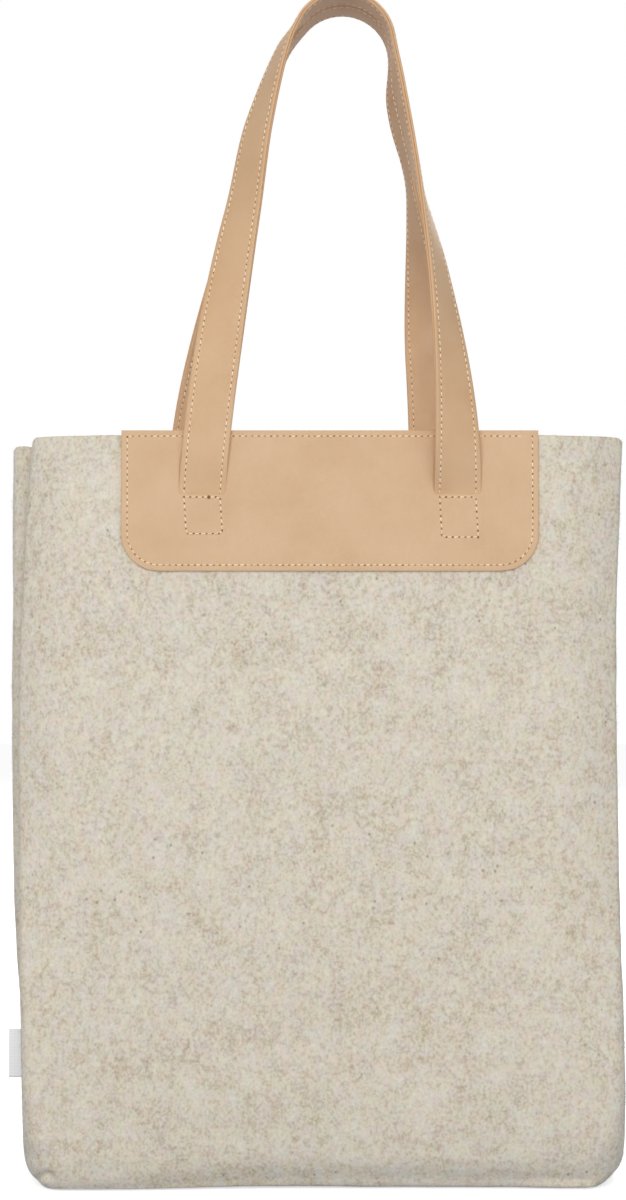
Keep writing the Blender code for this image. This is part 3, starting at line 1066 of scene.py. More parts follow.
@dataclass
class FeltBody:
    """The folded felt sheet: walls, gussets and base in one soft shell, with its inner seams.

    Attributes:
        form: The bag's shape.
        gusset_steps: Facets of half a gusset.
        fold_steps: Facets of a side fold.
        wall_steps: Facets across a wall.
        wall_rows: Facets up a wall.
        round_rows: Facets of the base's rounding.
        flat_rows: Facets from there to the middle of the base.
        flat_half: Half the length of the base's middle line.
        rim_support: The distance of the row that keeps the rim crisp.
        swell: How far the felt rises and sinks between hand and hand.
        nubs: How far it does so from one lump of wool to the next.
        seam_allowance: The width of the felt turned in at the side seams.
        base_arch: How far the base's middle is drawn up.
        tuck: The depth of the crease at the base's left corner.
        end_fullness: How much less than a round edge the base is drawn in at its ends.
        wall_fullness: How much less it is under the middle of the walls.
        belly: How far the walls draw in over the base.
        belly_height: The height at which they begin to.
        corner_drop: How far the rim sinks at the side folds.
        corner_reach: How far from a fold it begins to sink.
        back_drop: How much lower the back wall's rim hangs at its left end.
        hairs: How many loose fibres stand on it.
        flat_cut: The cut sheet's width and length.
        flat_area: Its area without the notches at the base.
    """

    form: BagForm
    gusset_steps: int = 7
    fold_steps: int = 14
    wall_steps: int = 34
    wall_rows: int = 52
    round_rows: int = 15
    flat_rows: int = 5
    flat_half: float = 90 * MM
    rim_support: float = 1.8 * MM
    swell: float = 0.7 * MM
    seam_allowance: float = 8 * MM
    nubs: float = 0.3 * MM
    base_arch: float = 0.8 * MM
    tuck: float = 5.5 * MM
    end_fullness: dict[Side, float] = field(default_factory=lambda: {Side.LEFT: 0.18, Side.RIGHT: -0.12})
    wall_fullness: float = 0.4
    belly: float = 6.4 * MM
    belly_height: float = 58 * MM
    corner_drop: float = 1.4 * MM
    corner_reach: float = 2 * MM
    back_drop: float = 4.2 * MM
    hairs: int = 15500
    flat_cut: tuple[float, float] = (412 * MM, 865 * MM)
    flat_area: float = 0.349

    def half_ring(self, z: float, wall: Wall) -> Ring:
        """The felt's outer face on one wall at a height, from the left seam to the right one."""
        shares = [step / self.fold_steps for step in range(self.fold_steps + 1)]
        left = [self.form.corner_point(z, Side.LEFT, wall, share) for share in reversed(shares)]
        right = [self.form.corner_point(z, Side.RIGHT, wall, share) for share in shares]
        seams = [Vector((self.form.seam_across(z, side), 0, z)) for side in Side]
        ring = spaced(seams[0], left[0], self.gusset_steps)[:-1] + left[:-1]
        ring += self.wall_run(left[-1], right[0], wall)[:-1]
        return ring + right[:-1] + spaced(right[-1], seams[1], self.gusset_steps)

    def wall_run(self, start: Vector, end: Vector, wall: Wall) -> Ring:
        """A wall from fold to fold, flat in its middle and curled in towards both.

        Args:
            start: Where it leaves the left fold.
            end: Where it meets the right fold.
            wall: The wall.

        Returns:
            The run's points, closer together near the folds.
        """
        flat = wall.value * self.form.half_depth(start.z)
        run = []
        for step in range(self.wall_steps + 1):
            way = step / self.wall_steps
            point = start.lerp(end, way - 0.05 * math.sin(math.tau * way))
            near = min(point.x - start.x, end.x - point.x)
            curled = (1 - min(near / self.form.curl_reach, 1)) ** 2
            point.y = flat + (start.y - flat) * curled
            run.append(point)
        return run

    def ring(self, z: float) -> Ring:
        """The felt's outer face at a height, from the left seam round by the front."""
        front = self.half_ring(z, Wall.FRONT)
        back = self.half_ring(z, Wall.BACK)
        return front[:-1] + back[:0:-1]

    def heights(self) -> list[float]:
        """The wall's rows from the rim down, closer together over the base."""
        shares = [1 - row / self.wall_rows for row in range(self.wall_rows + 1)]
        heights = [self.form.base_radius + self.form.rise * (0.6 * s + 0.4 * s * s) for s in shares]
        return [heights[0], heights[0] - self.rim_support] + heights[1:]

    def base_rings(self) -> list[Ring]:
        """The base's rows, from under the walls to its middle line."""
        edge = self.ring(self.form.base_radius)
        around = list(zip(edge[-1:] + edge[:-1], edge, edge[1:] + edge[:1]))
        inward = [Vector((before.y - after.y, after.x - before.x, 0)).normalized() for before, _, after in around]
        rings = []
        for row in range(1, self.round_rows + 1):
            turn = math.pi / 2 * row / self.round_rows
            radius = self.form.base_radius
            drop = Vector((0, 0, -radius * math.sin(turn)))
            inset = radius * (1 - math.cos(turn))
            rings.append([
                point + way * inset * (1 - self.fullness(point, way)) + drop
                for (_, point, _), way in zip(around, inward)
            ])
        last = rings[-1]
        for row in range(1, self.flat_rows + 1):
            middles = [Vector((max(min(p.x, self.flat_half), -self.flat_half), 0, p.z)) for p in last]
            rings.append([p.lerp(middle, row / self.flat_rows) for p, middle in zip(last, middles)])
        return rings

    def fullness(self, point: Vector, inward: Vector) -> float:
        """How much less than a round edge the base is drawn in.

        Args:
            point: A point over the base's edge.
            inward: The way in from it.

        Returns:
            0 for a round edge, 1 for a square one.
        """
        side = Side.LEFT if point.x < 0 else Side.RIGHT
        wall = self.wall_fullness + 0.3 * self.sagging(point) + 0.15 * eased(90 * MM, 125 * MM, point.x)
        return self.end_fullness[side] * inward.x**2 + wall * inward.y**2

    @staticmethod
    def sagging(point: Vector) -> float:
        """How far a point lies in the left part of the bag, where the base hangs lowest."""
        return eased(-20 * MM, -125 * MM, point.x)

    def calm(self, point: Vector) -> float:
        """How freely the felt may swell at a point: 0 under a patch, 1 away from it."""
        wall = Wall.FRONT if point.y < 0 else Wall.BACK
        beside = abs(point.x - self.form.patch_centre(wall)) - self.form.patch_width / 2
        below = self.form.height - self.form.patch_height - point.z
        return eased(-4 * MM, 24 * MM, max(beside, below))

    def relax(self, shape: bmesh.types.BMesh) -> None:
        """Lets the felt swell, its rim wave and its base draw up, as soft felt does.

        Args:
            shape: The shell, before it gets its thickness.
        """
        shape.normal_update()
        moves = []
        for vertex in shape.verts:
            point = vertex.co
            broad = noise.noise(point * 11 + Vector((3.1, 0, 0)))
            fine = noise.noise(point * 46)
            rise = self.swell * self.calm(point) * (broad + 0.35 * fine)
            rise += self.nubs * (0.25 + 0.75 * self.calm(point)) * noise.noise(point * 130)
            dent = self.pressed(point) + self.creased(point)
            drawn = self.belly * (1 - 0.8 * self.sagging(point))
            dent += drawn * abs(vertex.normal.y) * max(1 - point.z / self.belly_height, 0) ** 2
            share = self.form.share(point.z)
            wave = 0.9 * MM * noise.noise(Vector((point.x * 14, point.y * 30, 7.7)))
            wave += 0.35 * MM * noise.noise(Vector((point.x * 85, point.y * 30, 3.3)))
            crown = 1.6 * MM * hump(point.x, 140 * MM)
            lift = (wave + crown) * max(share, 0) ** 10 - self.sunk(point)
            arch = self.base_arch * eased(150 * MM, 20 * MM, abs(point.x + 10 * MM)) * eased(45 * MM, 8 * MM, point.z)
            moves.append(vertex.normal * (rise - dent) + Vector((0, 0, lift + arch)))
        for vertex, move in zip(shape.verts, moves):
            vertex.co += move
            vertex.co.z = max(vertex.co.z, 0)

    def pressed(self, point: Vector) -> float:
        """How far a strap that goes in through its slit presses the felt back at a point."""
        wall = Wall.FRONT if point.y < 0 else Wall.BACK
        if abs(point.y) < self.form.half_depth(point.z) - self.form.felt:
            return 0
        beside = min(abs(point.x - self.form.strap_across(wall, side)) for side in Side)
        slit = self.form.on_wall(wall, 0, self.form.slit_top, 0).z
        return 1.2 * MM * hump(beside, 11 * MM) * hump(point.z - slit - 4 * MM, 8 * MM)

    def creased(self, point: Vector) -> float:
        """How deep the crease at the base's left front corner is at a point."""
        outer, inner = Vector((-155.5 * MM, 4.5 * MM)), Vector((-149.5 * MM, 8.3 * MM))
        if point.y > 0:
            return 0
        run = inner - outer
        way = min(max((Vector((point.x, point.z)) - outer).dot(run) / run.length_squared, 0), 1)
        apart = (Vector((point.x, point.z)) - outer - run * way).length
        return self.tuck * hump(apart, 1.9 * MM) * (0.25 + 0.75 * way)

    def sunk(self, point: Vector) -> float:
        """How far the rim sinks at a point beside a side fold."""
        wall = Wall.FRONT if point.y < 0 else Wall.BACK
        side = Side.LEFT if point.x < 0 else Side.RIGHT
        inside = side.value * (self.form.fold_across(point.z, side, wall) - point.x)
        sunk = self.corner_drop * eased(self.corner_reach, 0, abs(inside))
        if point.y > -self.form.front_corner / 2:
            sunk += self.back_drop * eased(-100 * MM, -150 * MM, point.x)
        return sunk * eased(-40 * MM, 0, point.z - self.form.height) ** 2

    def shell(self) -> bmesh.types.BMesh:
        """The felt's outer face, open at the mouth."""
        rows = [self.ring(z) for z in self.heights()] + self.base_rings()
        shape = loft(rows, capped=False)
        shape.faces.ensure_lookup_table()
        front = min(shape.faces, key=lambda face: face.calc_center_median().y)
        if front.normal.y > 0:
            bmesh.ops.reverse_faces(shape, faces=shape.faces)
        self.relax(shape)
        return shape

    def seam_strip(self, side: Side) -> bmesh.types.BMesh:
        """The felt turned in along one side seam, both layers."""
        strip = bmesh.new()
        for wall in Wall:
            rows = []
            for z in self.heights()[:: 3]:
                seam = Vector((self.form.seam_across(z, side), 0, max(z, 6 * MM)))
                inward = Vector((-side.value, 0, 0))
                section = ((0, 0.1), (7.6, 0.1), (8, 0.5), (8, 2.2), (7.6, 2.6), (6, 2.7), (0, 2.7))
                rows.append([seam + (inward * x + Vector((0, wall.value * y, 0))) * MM for x, y in section])
            layer = loft(rows)
            half = bpy.data.meshes.new("layer")
            layer.to_mesh(half)
            layer.free()
            strip.from_mesh(half)
            bpy.data.meshes.remove(half)
        return strip

    def hair_places(self, shape: bmesh.types.BMesh) -> list[Matrix]:
        """Where loose fibres stand: over the outer face, thicker along folds and rim.

        Args:
            shape: The shell.

        Returns:
            The fibres' matrices.
        """
        chance = random.Random("loose wool")
        shape.faces.ensure_lookup_table()
        faces = list(shape.faces)
        weights = [face.calc_area() * self.hairiness(face.calc_center_median()) for face in faces]
        places = []
        for face in chance.choices(faces, weights, k=self.hairs):
            if face.calc_center_median().z < 4 * MM:
                continue
            corners = [vertex.co for vertex in face.verts]
            start = corners[0].lerp(corners[1], chance.random())
            end = corners[-1].lerp(corners[-2], chance.random())
            root = start.lerp(end, chance.random())
            flat = (corners[1] - corners[0]).normalized()
            flat.rotate(Matrix.Rotation(chance.uniform(0, math.tau), 3, face.normal))
            way = (face.normal * chance.uniform(0.05, 1.5) + flat).normalized()
            length = chance.uniform(0.8, 3) * MM
            width = chance.uniform(0.08, 0.17) * MM
            turn = way.to_track_quat("Z", "X").to_matrix().to_4x4()
            sunk = root - face.normal * 0.25 * MM
            places.append(Matrix.Translation(sunk) @ turn @ Matrix.Diagonal((width, width, length, 1)))
        return places

    def hairiness(self, point: Vector) -> float:
        """How thickly loose fibres stand at a point: in tufts, most along the side folds, the rim and the base."""
        wall = Wall.FRONT if point.y < 0 else Wall.BACK
        side = Side.LEFT if point.x < 0 else Side.RIGHT
        inside = abs(self.form.fold_across(point.z, side, wall) - point.x)
        from_rim = self.form.height - point.z
        at_edge = max(hump(inside, 5 * MM), hump(from_rim, 3 * MM), hump(point.z, 7 * MM))
        tuft = 0.25 + 4 * max(noise.noise(point * 75), 0)
        return (0.15 + 0.85 * self.calm(point)) * (0.2 + 14 * at_edge) * tuft

    def build(self) -> list[bpy.types.Object]:
        """Makes the felt shell, the turned-in seams and the loose fibres."""
        shape = self.shell()
        hairs = self.hair_places(shape)
        body = make_piece("felt_body", shape, Stock.of(FELT))
        thicken(body, self.form.felt)
        rounded = body.modifiers.new("soft_felt", "SUBSURF")
        rounded.levels = 1
        rounded.render_levels = 1
        settle(body)
        seams = []
        for side in Side:
            seam = make_piece(f"{side.word}_seam_allowance", self.seam_strip(side), Stock.of(FELT))
            soften(seam, 0.5 * MM)
            seams.append(settle(seam))
        fuzz = stamped("loose_fibres", hair_stamp(), hairs, Stock.of(LOOSE_WOOL))
        return [body, *seams, fuzz]

    def dress(self) -> None:
        """Builds the felt, hangs it between both walls and stands it for their solids."""
        pieces = self.build()
        for piece in pieces:
            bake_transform(piece, "bag", "back_wall", start=(0, -15 * MM, 0), end=(0, 15 * MM, 0))
        gussets = [f"{side.word}_gusset_{wall.word}" for side in Side for wall in Wall]
        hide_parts("front_panel", "back_panel", "base_panel", *gussets)


@dataclass
class LeatherPatch:
    """One wall's leather patch, with its slits, its sewing and the strap ends behind it.

    Attributes:
        form: The bag's shape.
        wall: The wall that it is sewn to.
        thickness: The leather's thickness.
        facet: The size of its facets.
        slit_low: From the slits' top down to their lower lip.
        slit_high: From the slits' top up to their upper lip.
        slit_ease: How much wider a slit is than its strap at each side.
        trench: How far the strap presses the patch back above its slit.
        row_inset: From the edge to the stitch row.
        row_gap: Between the row's end and its start.
        box_inset: From a strap's edge to its stitch rows.
        box_top: From the slits' top down to the box's first row.
        box_feet: From the slits' top down to each box's last row.
        box_lean: How far the boxes lean to the right on their way down.
        worn_hole: The larger needle hole in the front's left box: its place from the box's middle, and width.
        end_length: How far a strap's end runs down behind the patch.
        end_thickness: The thickness of the skived strap end.
    """

    form: BagForm
    wall: Wall
    thickness: float = 1.8 * MM
    facet: float = 1 * MM
    slit_low: float = 1.0 * MM
    slit_high: float = 0.6 * MM
    slit_ease: float = -0.5 * MM
    trench: float = 2.0 * MM
    row_inset: float = 3.2 * MM
    row_gap: float = 5.2 * MM
    box_inset: float = 2.9 * MM
    box_top: float = 2.7 * MM
    box_feet: dict[Side, float] = field(default_factory=lambda: {Side.LEFT: 22.2 * MM, Side.RIGHT: 24 * MM})
    box_lean: float = 1.2 * MM
    worn_hole: tuple[float, float] = (3.6 * MM, 1.9 * MM)
    end_length: float = 28 * MM
    end_thickness: float = 1.5 * MM

    @property
    def foot(self) -> float:
        """The patch's lower edge, up along the wall."""
        return self.form.patch_top - self.form.patch_height

    @property
    def half(self) -> float:
        """Half the patch's width."""
        return self.form.patch_width / 2

    def strap(self, side: Side) -> float:
        """The middle of a slit, from the patch's middle."""
        return self.form.strap_across(self.wall, side) - self.form.patch_centre(self.wall)

    def half_width(self, up: float) -> float:
        """Half the patch's width at a height: less in its rounded lower corners."""
        radius = self.form.patch_corner
        above = up - self.foot
        if above >= radius:
            return self.half
        return self.half - radius + math.sqrt(max(radius**2 - (radius - above) ** 2, 0))

    def from_edge(self, across: float, up: float) -> float:
        """A point's distance from the patch's edge."""
        radius = self.form.patch_corner
        beside = abs(across) - (self.half - radius)
        under = self.foot + radius - up
        if beside > 0 and under > 0:
            return max(radius - math.hypot(beside, under), 0)
        return max(min(self.half - abs(across), up - self.foot, self.form.patch_top - up), 0)

    def relief(self, across: float, up: float) -> float:
        """How far the patch's face stands out of the felt at a point.

        Args:
            across: From the patch's middle.
            up: Up along the wall.

        Returns:
            The distance, with the pull of the stitches and the strap ends behind.
        """
        inset = self.from_edge(across, up)
        pull = -0.16 * MM * hump(inset - self.row_inset, 0.9 * MM) - 0.12 * MM * hump(inset, 1.2 * MM)
        swell = 0.0
        for side in Side:
            beside = abs(across - self.strap(side))
            behind = eased(14.5 * MM, 11 * MM, beside) * eased(-31 * MM, -24 * MM, up - self.form.slit_top)
            swell += 0.4 * MM * behind * eased(1 * MM, -2.5 * MM, up - self.form.slit_top)
            box = self.form.strap_width / 2 - self.box_inset
            low = self.form.slit_top - self.box_feet[side]
            high = self.form.slit_top - self.box_top
            outside = max(beside - box, low - up, up - high)
            pull -= 0.12 * MM * hump(outside, 0.9 * MM)
            above = up - self.form.slit_top + self.slit_low
            if above > self.facet / 2:
                pull -= self.trench * eased(12.4 * MM, 10.8 * MM, beside) * eased(26 * MM, 4 * MM, above)
        drift = 0.12 * MM * noise.noise(Vector((across * 30, up * 30, self.wall.value)))
        return self.form.patch_front + pull + swell + drift

    def spot(self, across: float, up: float) -> Spot:
        """A place on the patch's face."""
        middle = self.form.patch_centre(self.wall)
        point = self.form.on_wall(self.wall, middle + across, up, self.relief(across, up))
        return Spot(point, self.form.out_of(self.wall))

    def rows(self) -> list[float]:
        """The patch's rows from its foot up, one of them moved to the slits' upper lip."""
        count = round(self.form.patch_height / self.facet)
        rows = [self.foot + self.form.patch_height * row / count for row in range(count + 1)]
        lip = self.lip_row(rows) + 1
        rows[lip] = self.form.slit_top + self.slit_high
        return rows

    def lip_row(self, rows: Sequence[float]) -> int:
        """The number of the row at the slits' lower lip."""
        lip = self.form.slit_top - self.slit_low
        return min(range(len(rows)), key=lambda row: abs(rows[row] - lip))

    def leather(self) -> bpy.types.Object:
        """The patch itself."""
        rows = self.rows()
        spans = round(self.form.patch_width / self.facet)
        lines = []
        for up in rows:
            half = self.half_width(up)
            lines.append([self.spot(half * (2 * step / spans - 1), up).point for step in range(spans + 1)])
        shape = loft(lines, closed=False, capped=False)
        self.cut_slits(shape, rows)
        out = self.form.out_of(self.wall)
        if next(iter(shape.faces)).normal.dot(out) < 0:
            bmesh.ops.reverse_faces(shape, faces=shape.faces)
        mark = shape.verts.layers.float[EDGE]
        centre = self.form.patch_centre(self.wall)
        for vertex in shape.verts:
            vertex[mark] = self.from_edge(vertex.co.x - centre, self.up_of(vertex.co))
        piece = make_piece(f"{self.wall.word}_patch_leather", shape, Stock.of(LEATHER))
        thicken(piece, self.thickness)
        soften(piece, 0.35 * MM)
        return settle(piece)

    def up_of(self, point: Vector) -> float:
        """A point's way up the wall."""
        return (point - self.form.on_wall(self.wall, 0, 0, 0)).dot(self.form.up_wall(self.wall))

    def cut_slits(self, shape: bmesh.types.BMesh, rows: Sequence[float]) -> None:
        """Opens the two slits between two rows.

        Args:
            shape: The patch's face.
            rows: Its rows' heights.
        """
        lip = self.lip_row(rows)
        middle = (rows[lip] + rows[lip + 1]) / 2
        half = self.form.strap_width / 2 + self.slit_ease
        centre = self.form.patch_centre(self.wall)
        open_faces = []
        for face in shape.faces:
            place = face.calc_center_median()
            beside = min(abs(place.x - centre - self.strap(side)) for side in Side)
            if beside < half and abs(self.up_of(place) - middle) < self.facet / 3:
                open_faces.append(face)
        bmesh.ops.delete(shape, geom=open_faces, context="FACES")

    def border(self) -> list[Spot]:
        """The stitch row round the patch, from its top right corner round by the foot, almost back to it."""
        radius = self.form.patch_corner - self.row_inset
        half = self.half - self.row_inset
        top = self.form.patch_top - self.row_inset
        turn = self.foot + self.row_inset + radius
        arcs = [(half - radius, 0, -90), (radius - half, -90, -180)]
        corners = [(half, top)]
        for across, start, end in arcs:
            for step in range(13):
                angle = math.radians(start + (end - start) * step / 12)
                corners.append((across + radius * math.cos(angle), turn + radius * math.sin(angle)))
        corners += [(-half, top), (half - self.row_gap, top)]
        return self.traced(corners)

    def box(self, side: Side) -> list[Spot]:
        """The box of stitches over a strap's end, all the way round."""
        half = self.form.strap_width / 2 - self.box_inset
        top = self.form.slit_top - self.box_top
        foot = self.form.slit_top - self.box_feet[side]
        lean = self.box_lean
        corners = [(-half, top), (lean - half, foot), (lean + half, foot), (half, top), (-half, top)]
        return self.traced([(self.strap(side) + across, up) for across, up in corners])

    def traced(self, corners: Sequence[tuple[float, float]]) -> list[Spot]:
        """Places about a millimetre apart along straight runs on the patch's face."""
        spots = []
        for start, end in zip(corners, corners[1:]):
            steps = max(round(math.dist(start, end) / self.facet), 1)
            for step in range(steps):
                share = step / steps
                spots.append(self.spot(*(a + (b - a) * share for a, b in zip(start, end))))
        return spots + [self.spot(*corners[-1])]

    def inside(self, spots: Sequence[Spot]) -> list[Spot]:
        """The same row as it shows on the felt's inner face."""
        through = self.form.patch_front + self.form.felt
        return [Spot(spot.point - spot.out * through, -spot.out) for spot in spots]

    def sewing(self) -> list[bpy.types.Object]:
        """The rows round the patch and the boxes under the slits, on the leather and inside."""
        sewing = Sewing(f"{self.wall.word}_patch")
        rows = [self.border()] + [self.box(side) for side in Side]
        for row in rows:
            sewing.row(row)
            sewing.row(self.inside(row), sunk=0.25 * MM)
        if self.wall is Wall.FRONT:
            across = self.strap(Side.LEFT) + self.worn_hole[0]
            spot = self.spot(across, self.form.slit_top - self.box_top)
            sewing.pierce(spot, Vector((1, 0, 0)), self.worn_hole[1])
        return sewing.pieces()

    def strap_end(self, side: Side) -> bpy.types.Object:
        """The skived end of one strap: in through the slit and down behind the patch."""
        middle = self.form.strap_across(self.wall, side)
        depth = -self.end_thickness / 2
        lip = self.form.slit_top - self.slit_low + self.end_thickness / 2 + 0.1 * MM
        bend = 1.4 * MM
        path = [(lip, self.form.patch_front - 0.8 * MM), (lip, depth + bend)]
        for step in range(1, 6):
            angle = math.pi / 2 * step / 6
            path.append((lip - bend * (1 - math.cos(angle)), depth + bend * (1 - math.sin(angle))))
        path += [(lip - bend, depth), (lip - self.end_length / 2, depth), (lip - self.end_length, depth)]
        section = self.section(self.form.strap_width, self.end_thickness)
        rows = []
        for number, (up, out) in enumerate(path):
            before = path[max(number - 1, 0)]
            after = path[min(number + 1, len(path) - 1)]
            run = Vector((after[0] - before[0], after[1] - before[1])).normalized()
            row = []
            for across, thick in section:
                place = Vector((up, out)) + Vector((-run.y, run.x)) * thick
                row.append(self.form.on_wall(self.wall, middle + across, place.x, place.y))
            rows.append(row)
        edge = [self.form.strap_width / 2 - abs(across) for across, _ in section]
        name = f"{self.wall.word}_{side.word}_strap_end"
        piece = make_piece(f"{name}_leather", loft(rows, edge=edge), Stock.of(STRAP))
        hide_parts(name)
        return settle(piece)

    @staticmethod
    def section(width: float, thickness: float) -> list[tuple[float, float]]:
        """A flat strip's section with rounded edges.

        Args:
            width: The strip's width.
            thickness: Its thickness.

        Returns:
            Places across the strip and out of its middle.
        """
        half, thick, turn = width / 2, thickness / 2, thickness / 3
        right = [(half - turn, -thick), (half, -thick + turn), (half, thick - turn), (half - turn, thick)]
        return right + [(-across, out) for across, out in reversed(right)]

    def dress(self) -> None:
        """Builds the patch with its sewing and strap ends, and sets it on its wall."""
        leather = self.leather()
        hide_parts(f"{self.wall.word}_patch")
        ends = [self.strap_end(side) for side in Side]
        for piece in (leather, *ends, *self.sewing()):
            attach(piece, self.wall.carrier)


class Station(NamedTuple):
    """One place along a strap: its middle, the ways of its face and width, and its share of full thickness."""

    middle: Vector
    face: Vector
    width: Vector
    thickness: float


@dataclass
class StrapHandle:
    """One leather handle: two plies sewn together, from slit to slit over the loop.

    Attributes:
        form: The bag's shape.
        wall: The wall that it hangs on.
        legs: How its legs run and turn.
        ply: The thickness of one ply.
        loop_rise: From the rim up to the loop's middle.
        loop_offset: The loop's middle along X.
        loop_radius: The radius of the loop at the strap's middle.
        loop_parting: Between the two handles where they lie side by side.
        leg_steps: Stations along a leg.
        loop_steps: Stations round the loop.
        skive: The length over which the strap thins towards its slit.
        skived: Its thickness at the slit, as a share.
        flush: How far its face stands over the patch at the slit.
        entry: The slope at which it goes in, and how deep.
        row_inset: From the strap's edge to its stitch rows.
        bend_reach: How far over the slit the strap bends when the handle swings.
    """

    form: BagForm
    wall: Wall
    legs: dict[Side, LegShape]
    ply: float = 1.3 * MM
    loop_rise: float = 210 * MM
    loop_offset: float = 7 * MM
    loop_radius: float = 27 * MM
    loop_parting: float = 1.4 * MM
    leg_steps: int = 64
    loop_steps: int = 36
    skive: float = 26 * MM
    skived: float = 0.55
    flush: float = 0.1 * MM
    entry: tuple[float, float] = (math.radians(32), 2.6 * MM)
    row_inset: float = 2.9 * MM
    bend_reach: float = 16 * MM

    @property
    def out(self) -> float:
        """How far the strap's middle is from the felt where it lies on the patch."""
        return self.form.patch_front + 0.15 * MM + self.ply + 0.15 * MM

    def loop_angle(self, side: Side) -> float:
        """Where a leg meets the loop, measured from the right."""
        lean = self.legs[side].lean
        return lean if side is Side.RIGHT else math.pi - lean

    def loop_point(self, angle: float) -> Vector:
        """A point on the loop."""
        depth = (self.form.strap_width + self.loop_parting) / 2
        across = self.loop_offset + self.loop_radius * math.cos(angle)
        height = self.form.height + self.loop_rise + self.loop_radius * math.sin(angle)
        return Vector((across, self.wall.value * depth, height))

    def leg_point(self, side: Side, share: float) -> Vector:
        """A point on a leg's smooth curve from the slit to the loop.

        Args:
            side: The leg's side.
            share: 0 at the slit, 1 at the loop.

        Returns:
            The strap's middle there.
        """
        leg = self.legs[side]
        foot = self.form.on_wall(self.wall, self.form.strap_across(self.wall, side), self.form.slit_top, self.out)
        up, out = self.form.up_wall(self.wall), self.form.out_of(self.wall)
        rise = up * math.cos(leg.lean_out) + out * math.sin(leg.lean_out)
        rise = rise * math.cos(leg.lean_in) - Vector((side.value * math.sin(leg.lean_in), 0, 0))
        angle = self.loop_angle(side)
        head = self.loop_point(angle)
        tangent = side.value * Vector((-math.sin(angle), 0, math.cos(angle)))
        pulls = (foot, foot + rise * leg.rise_pull, head - tangent * leg.loop_pull, head)
        rest = 1 - share
        weights = (rest**3, 3 * share * rest**2, 3 * share**2 * rest, share**3)
        point = sum((pull * weight for pull, weight in zip(pulls, weights)), Vector())
        point.x -= side.value * leg.draw_in * leg.sway(share)
        return point - out * self.sink((point - foot).length)

    def sink(self, above: float) -> float:
        """How much nearer the felt the thinned strap lies, a way above its slit."""
        low = self.form.patch_front + self.flush - self.skived * (self.ply + 0.1 * MM)
        return (self.out - low) * eased(self.skive, 0, above)

    def thinned(self, side: Side, point: Vector) -> float:
        """The strap's thickness at a point of a leg, as a share."""
        foot = self.form.on_wall(self.wall, self.form.strap_across(self.wall, side), self.form.slit_top, self.out)
        return self.skived + (1 - self.skived) * eased(0, self.skive, (point - foot).length)

    def leg(self, side: Side) -> list[Station]:
        """The stations of a leg, from its slit up to the loop."""
        shares = [(step / self.leg_steps) ** 1.25 for step in range(self.leg_steps + 1)]
        middles = [self.leg_point(side, share) for share in shares]
        stations = self.entering(side, middles[0])
        for step, (share, middle) in enumerate(zip(shares, middles)):
            before = middles[max(step - 1, 0)]
            after = middles[min(step + 1, self.leg_steps)]
            along = (after - before).normalized() * -side.value
            turn = self.legs[side].turn(share)
            stations.append(self.station(middle, along, turn, self.thinned(side, middle)))
        return stations

    def entering(self, side: Side, start: Vector) -> list[Station]:
        """The stations that turn in through the slit, from the inside out.

        Args:
            side: The leg's side.
            start: The strap's middle above the slit.

        Returns:
            The stations below it.
        """
        up, out = self.form.up_wall(self.wall), self.form.out_of(self.wall)
        slope, depth = self.entry
        stations = []
        for step in (1, 0.6, 0.3):
            angle = slope * min(step * 2, 1)
            run = up * math.cos(angle) + out * math.sin(angle)
            face = out * math.cos(angle) - up * math.sin(angle)
            middle = start - up * depth * step / math.tan(slope) - out * depth * step * step
            stations.append(Station(middle, face, (run * -side.value).cross(face), self.skived))
        return stations

    def station(self, middle: Vector, along: Vector, twist: float, thickness: float) -> Station:
        """A place on the strap with its face turned.

        Args:
            middle: The strap's middle.
            along: The way it runs, from the left slit to the right one.
            twist: How far its face has turned outwards from the wall.
            thickness: Its share of full thickness.

        Returns:
            The station.
        """
        outward = Vector((0, self.wall.value, 0))
        outward = (outward - along * outward.dot(along)).normalized()
        upward = along.cross(outward) * self.wall.value
        face = outward * math.cos(twist) + upward * math.sin(twist)
        return Station(middle, face, along.cross(face), thickness)

    def stations(self) -> list[Station]:
        """Every station from the left slit to the right one."""
        start, end = self.loop_angle(Side.LEFT), self.loop_angle(Side.RIGHT)
        loop = []
        for step in range(1, self.loop_steps):
            angle = start + (end - start) * step / self.loop_steps
            along = Vector((math.sin(angle), 0, -math.cos(angle)))
            loop.append(self.station(self.loop_point(angle), along, math.pi / 2, 1))
        return self.leg(Side.LEFT) + loop + self.leg(Side.RIGHT)[::-1]

    def section(self) -> list[tuple[float, float]]:
        """One ply's section: places across the strap and out from its middle, in order."""
        half, top = self.form.strap_width / 2, self.ply + 0.1 * MM
        row = half - self.row_inset
        edge = [(0.4, 0.03), (0.12, 0.1), (0, 0.28), (0.06, 0.6), (0.3, 0.84), (0.75, 0.97)]
        right = [(half - inset * MM, out * top) for inset, out in edge]
        right += [(half - 1.5 * MM, top), (row + 0.9 * MM, top + 0.02 * MM), (row, top - 0.14 * MM)]
        right += [(row - 0.9 * MM, top + 0.03 * MM), (row / 2, top + 0.13 * MM)]
        left = [(-across, out) for across, out in reversed(right)]
        return right + [(0, top + 0.16 * MM)] + left

    def leather(self, ply: Ply) -> bpy.types.Object:
        """One ply of the strap."""
        section = self.section()
        rows = []
        for at in self.stations():
            thick = at.face * ply.value * at.thickness
            rows.append([at.middle + at.width * across + thick * out for across, out in section])
        edge = [self.form.strap_width / 2 - abs(across) for across, _ in section]
        # the lining ply takes the lighter leather, painted light for its shaded inner face
        finish = STRAP if ply is Ply.FACE else LINING
        name = f"{self.wall.word}_handle_{ply.word}"
        piece = make_piece(f"{name}_leather", loft(rows, edge=edge), Stock.of(finish))
        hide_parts(name)
        return settle(piece)

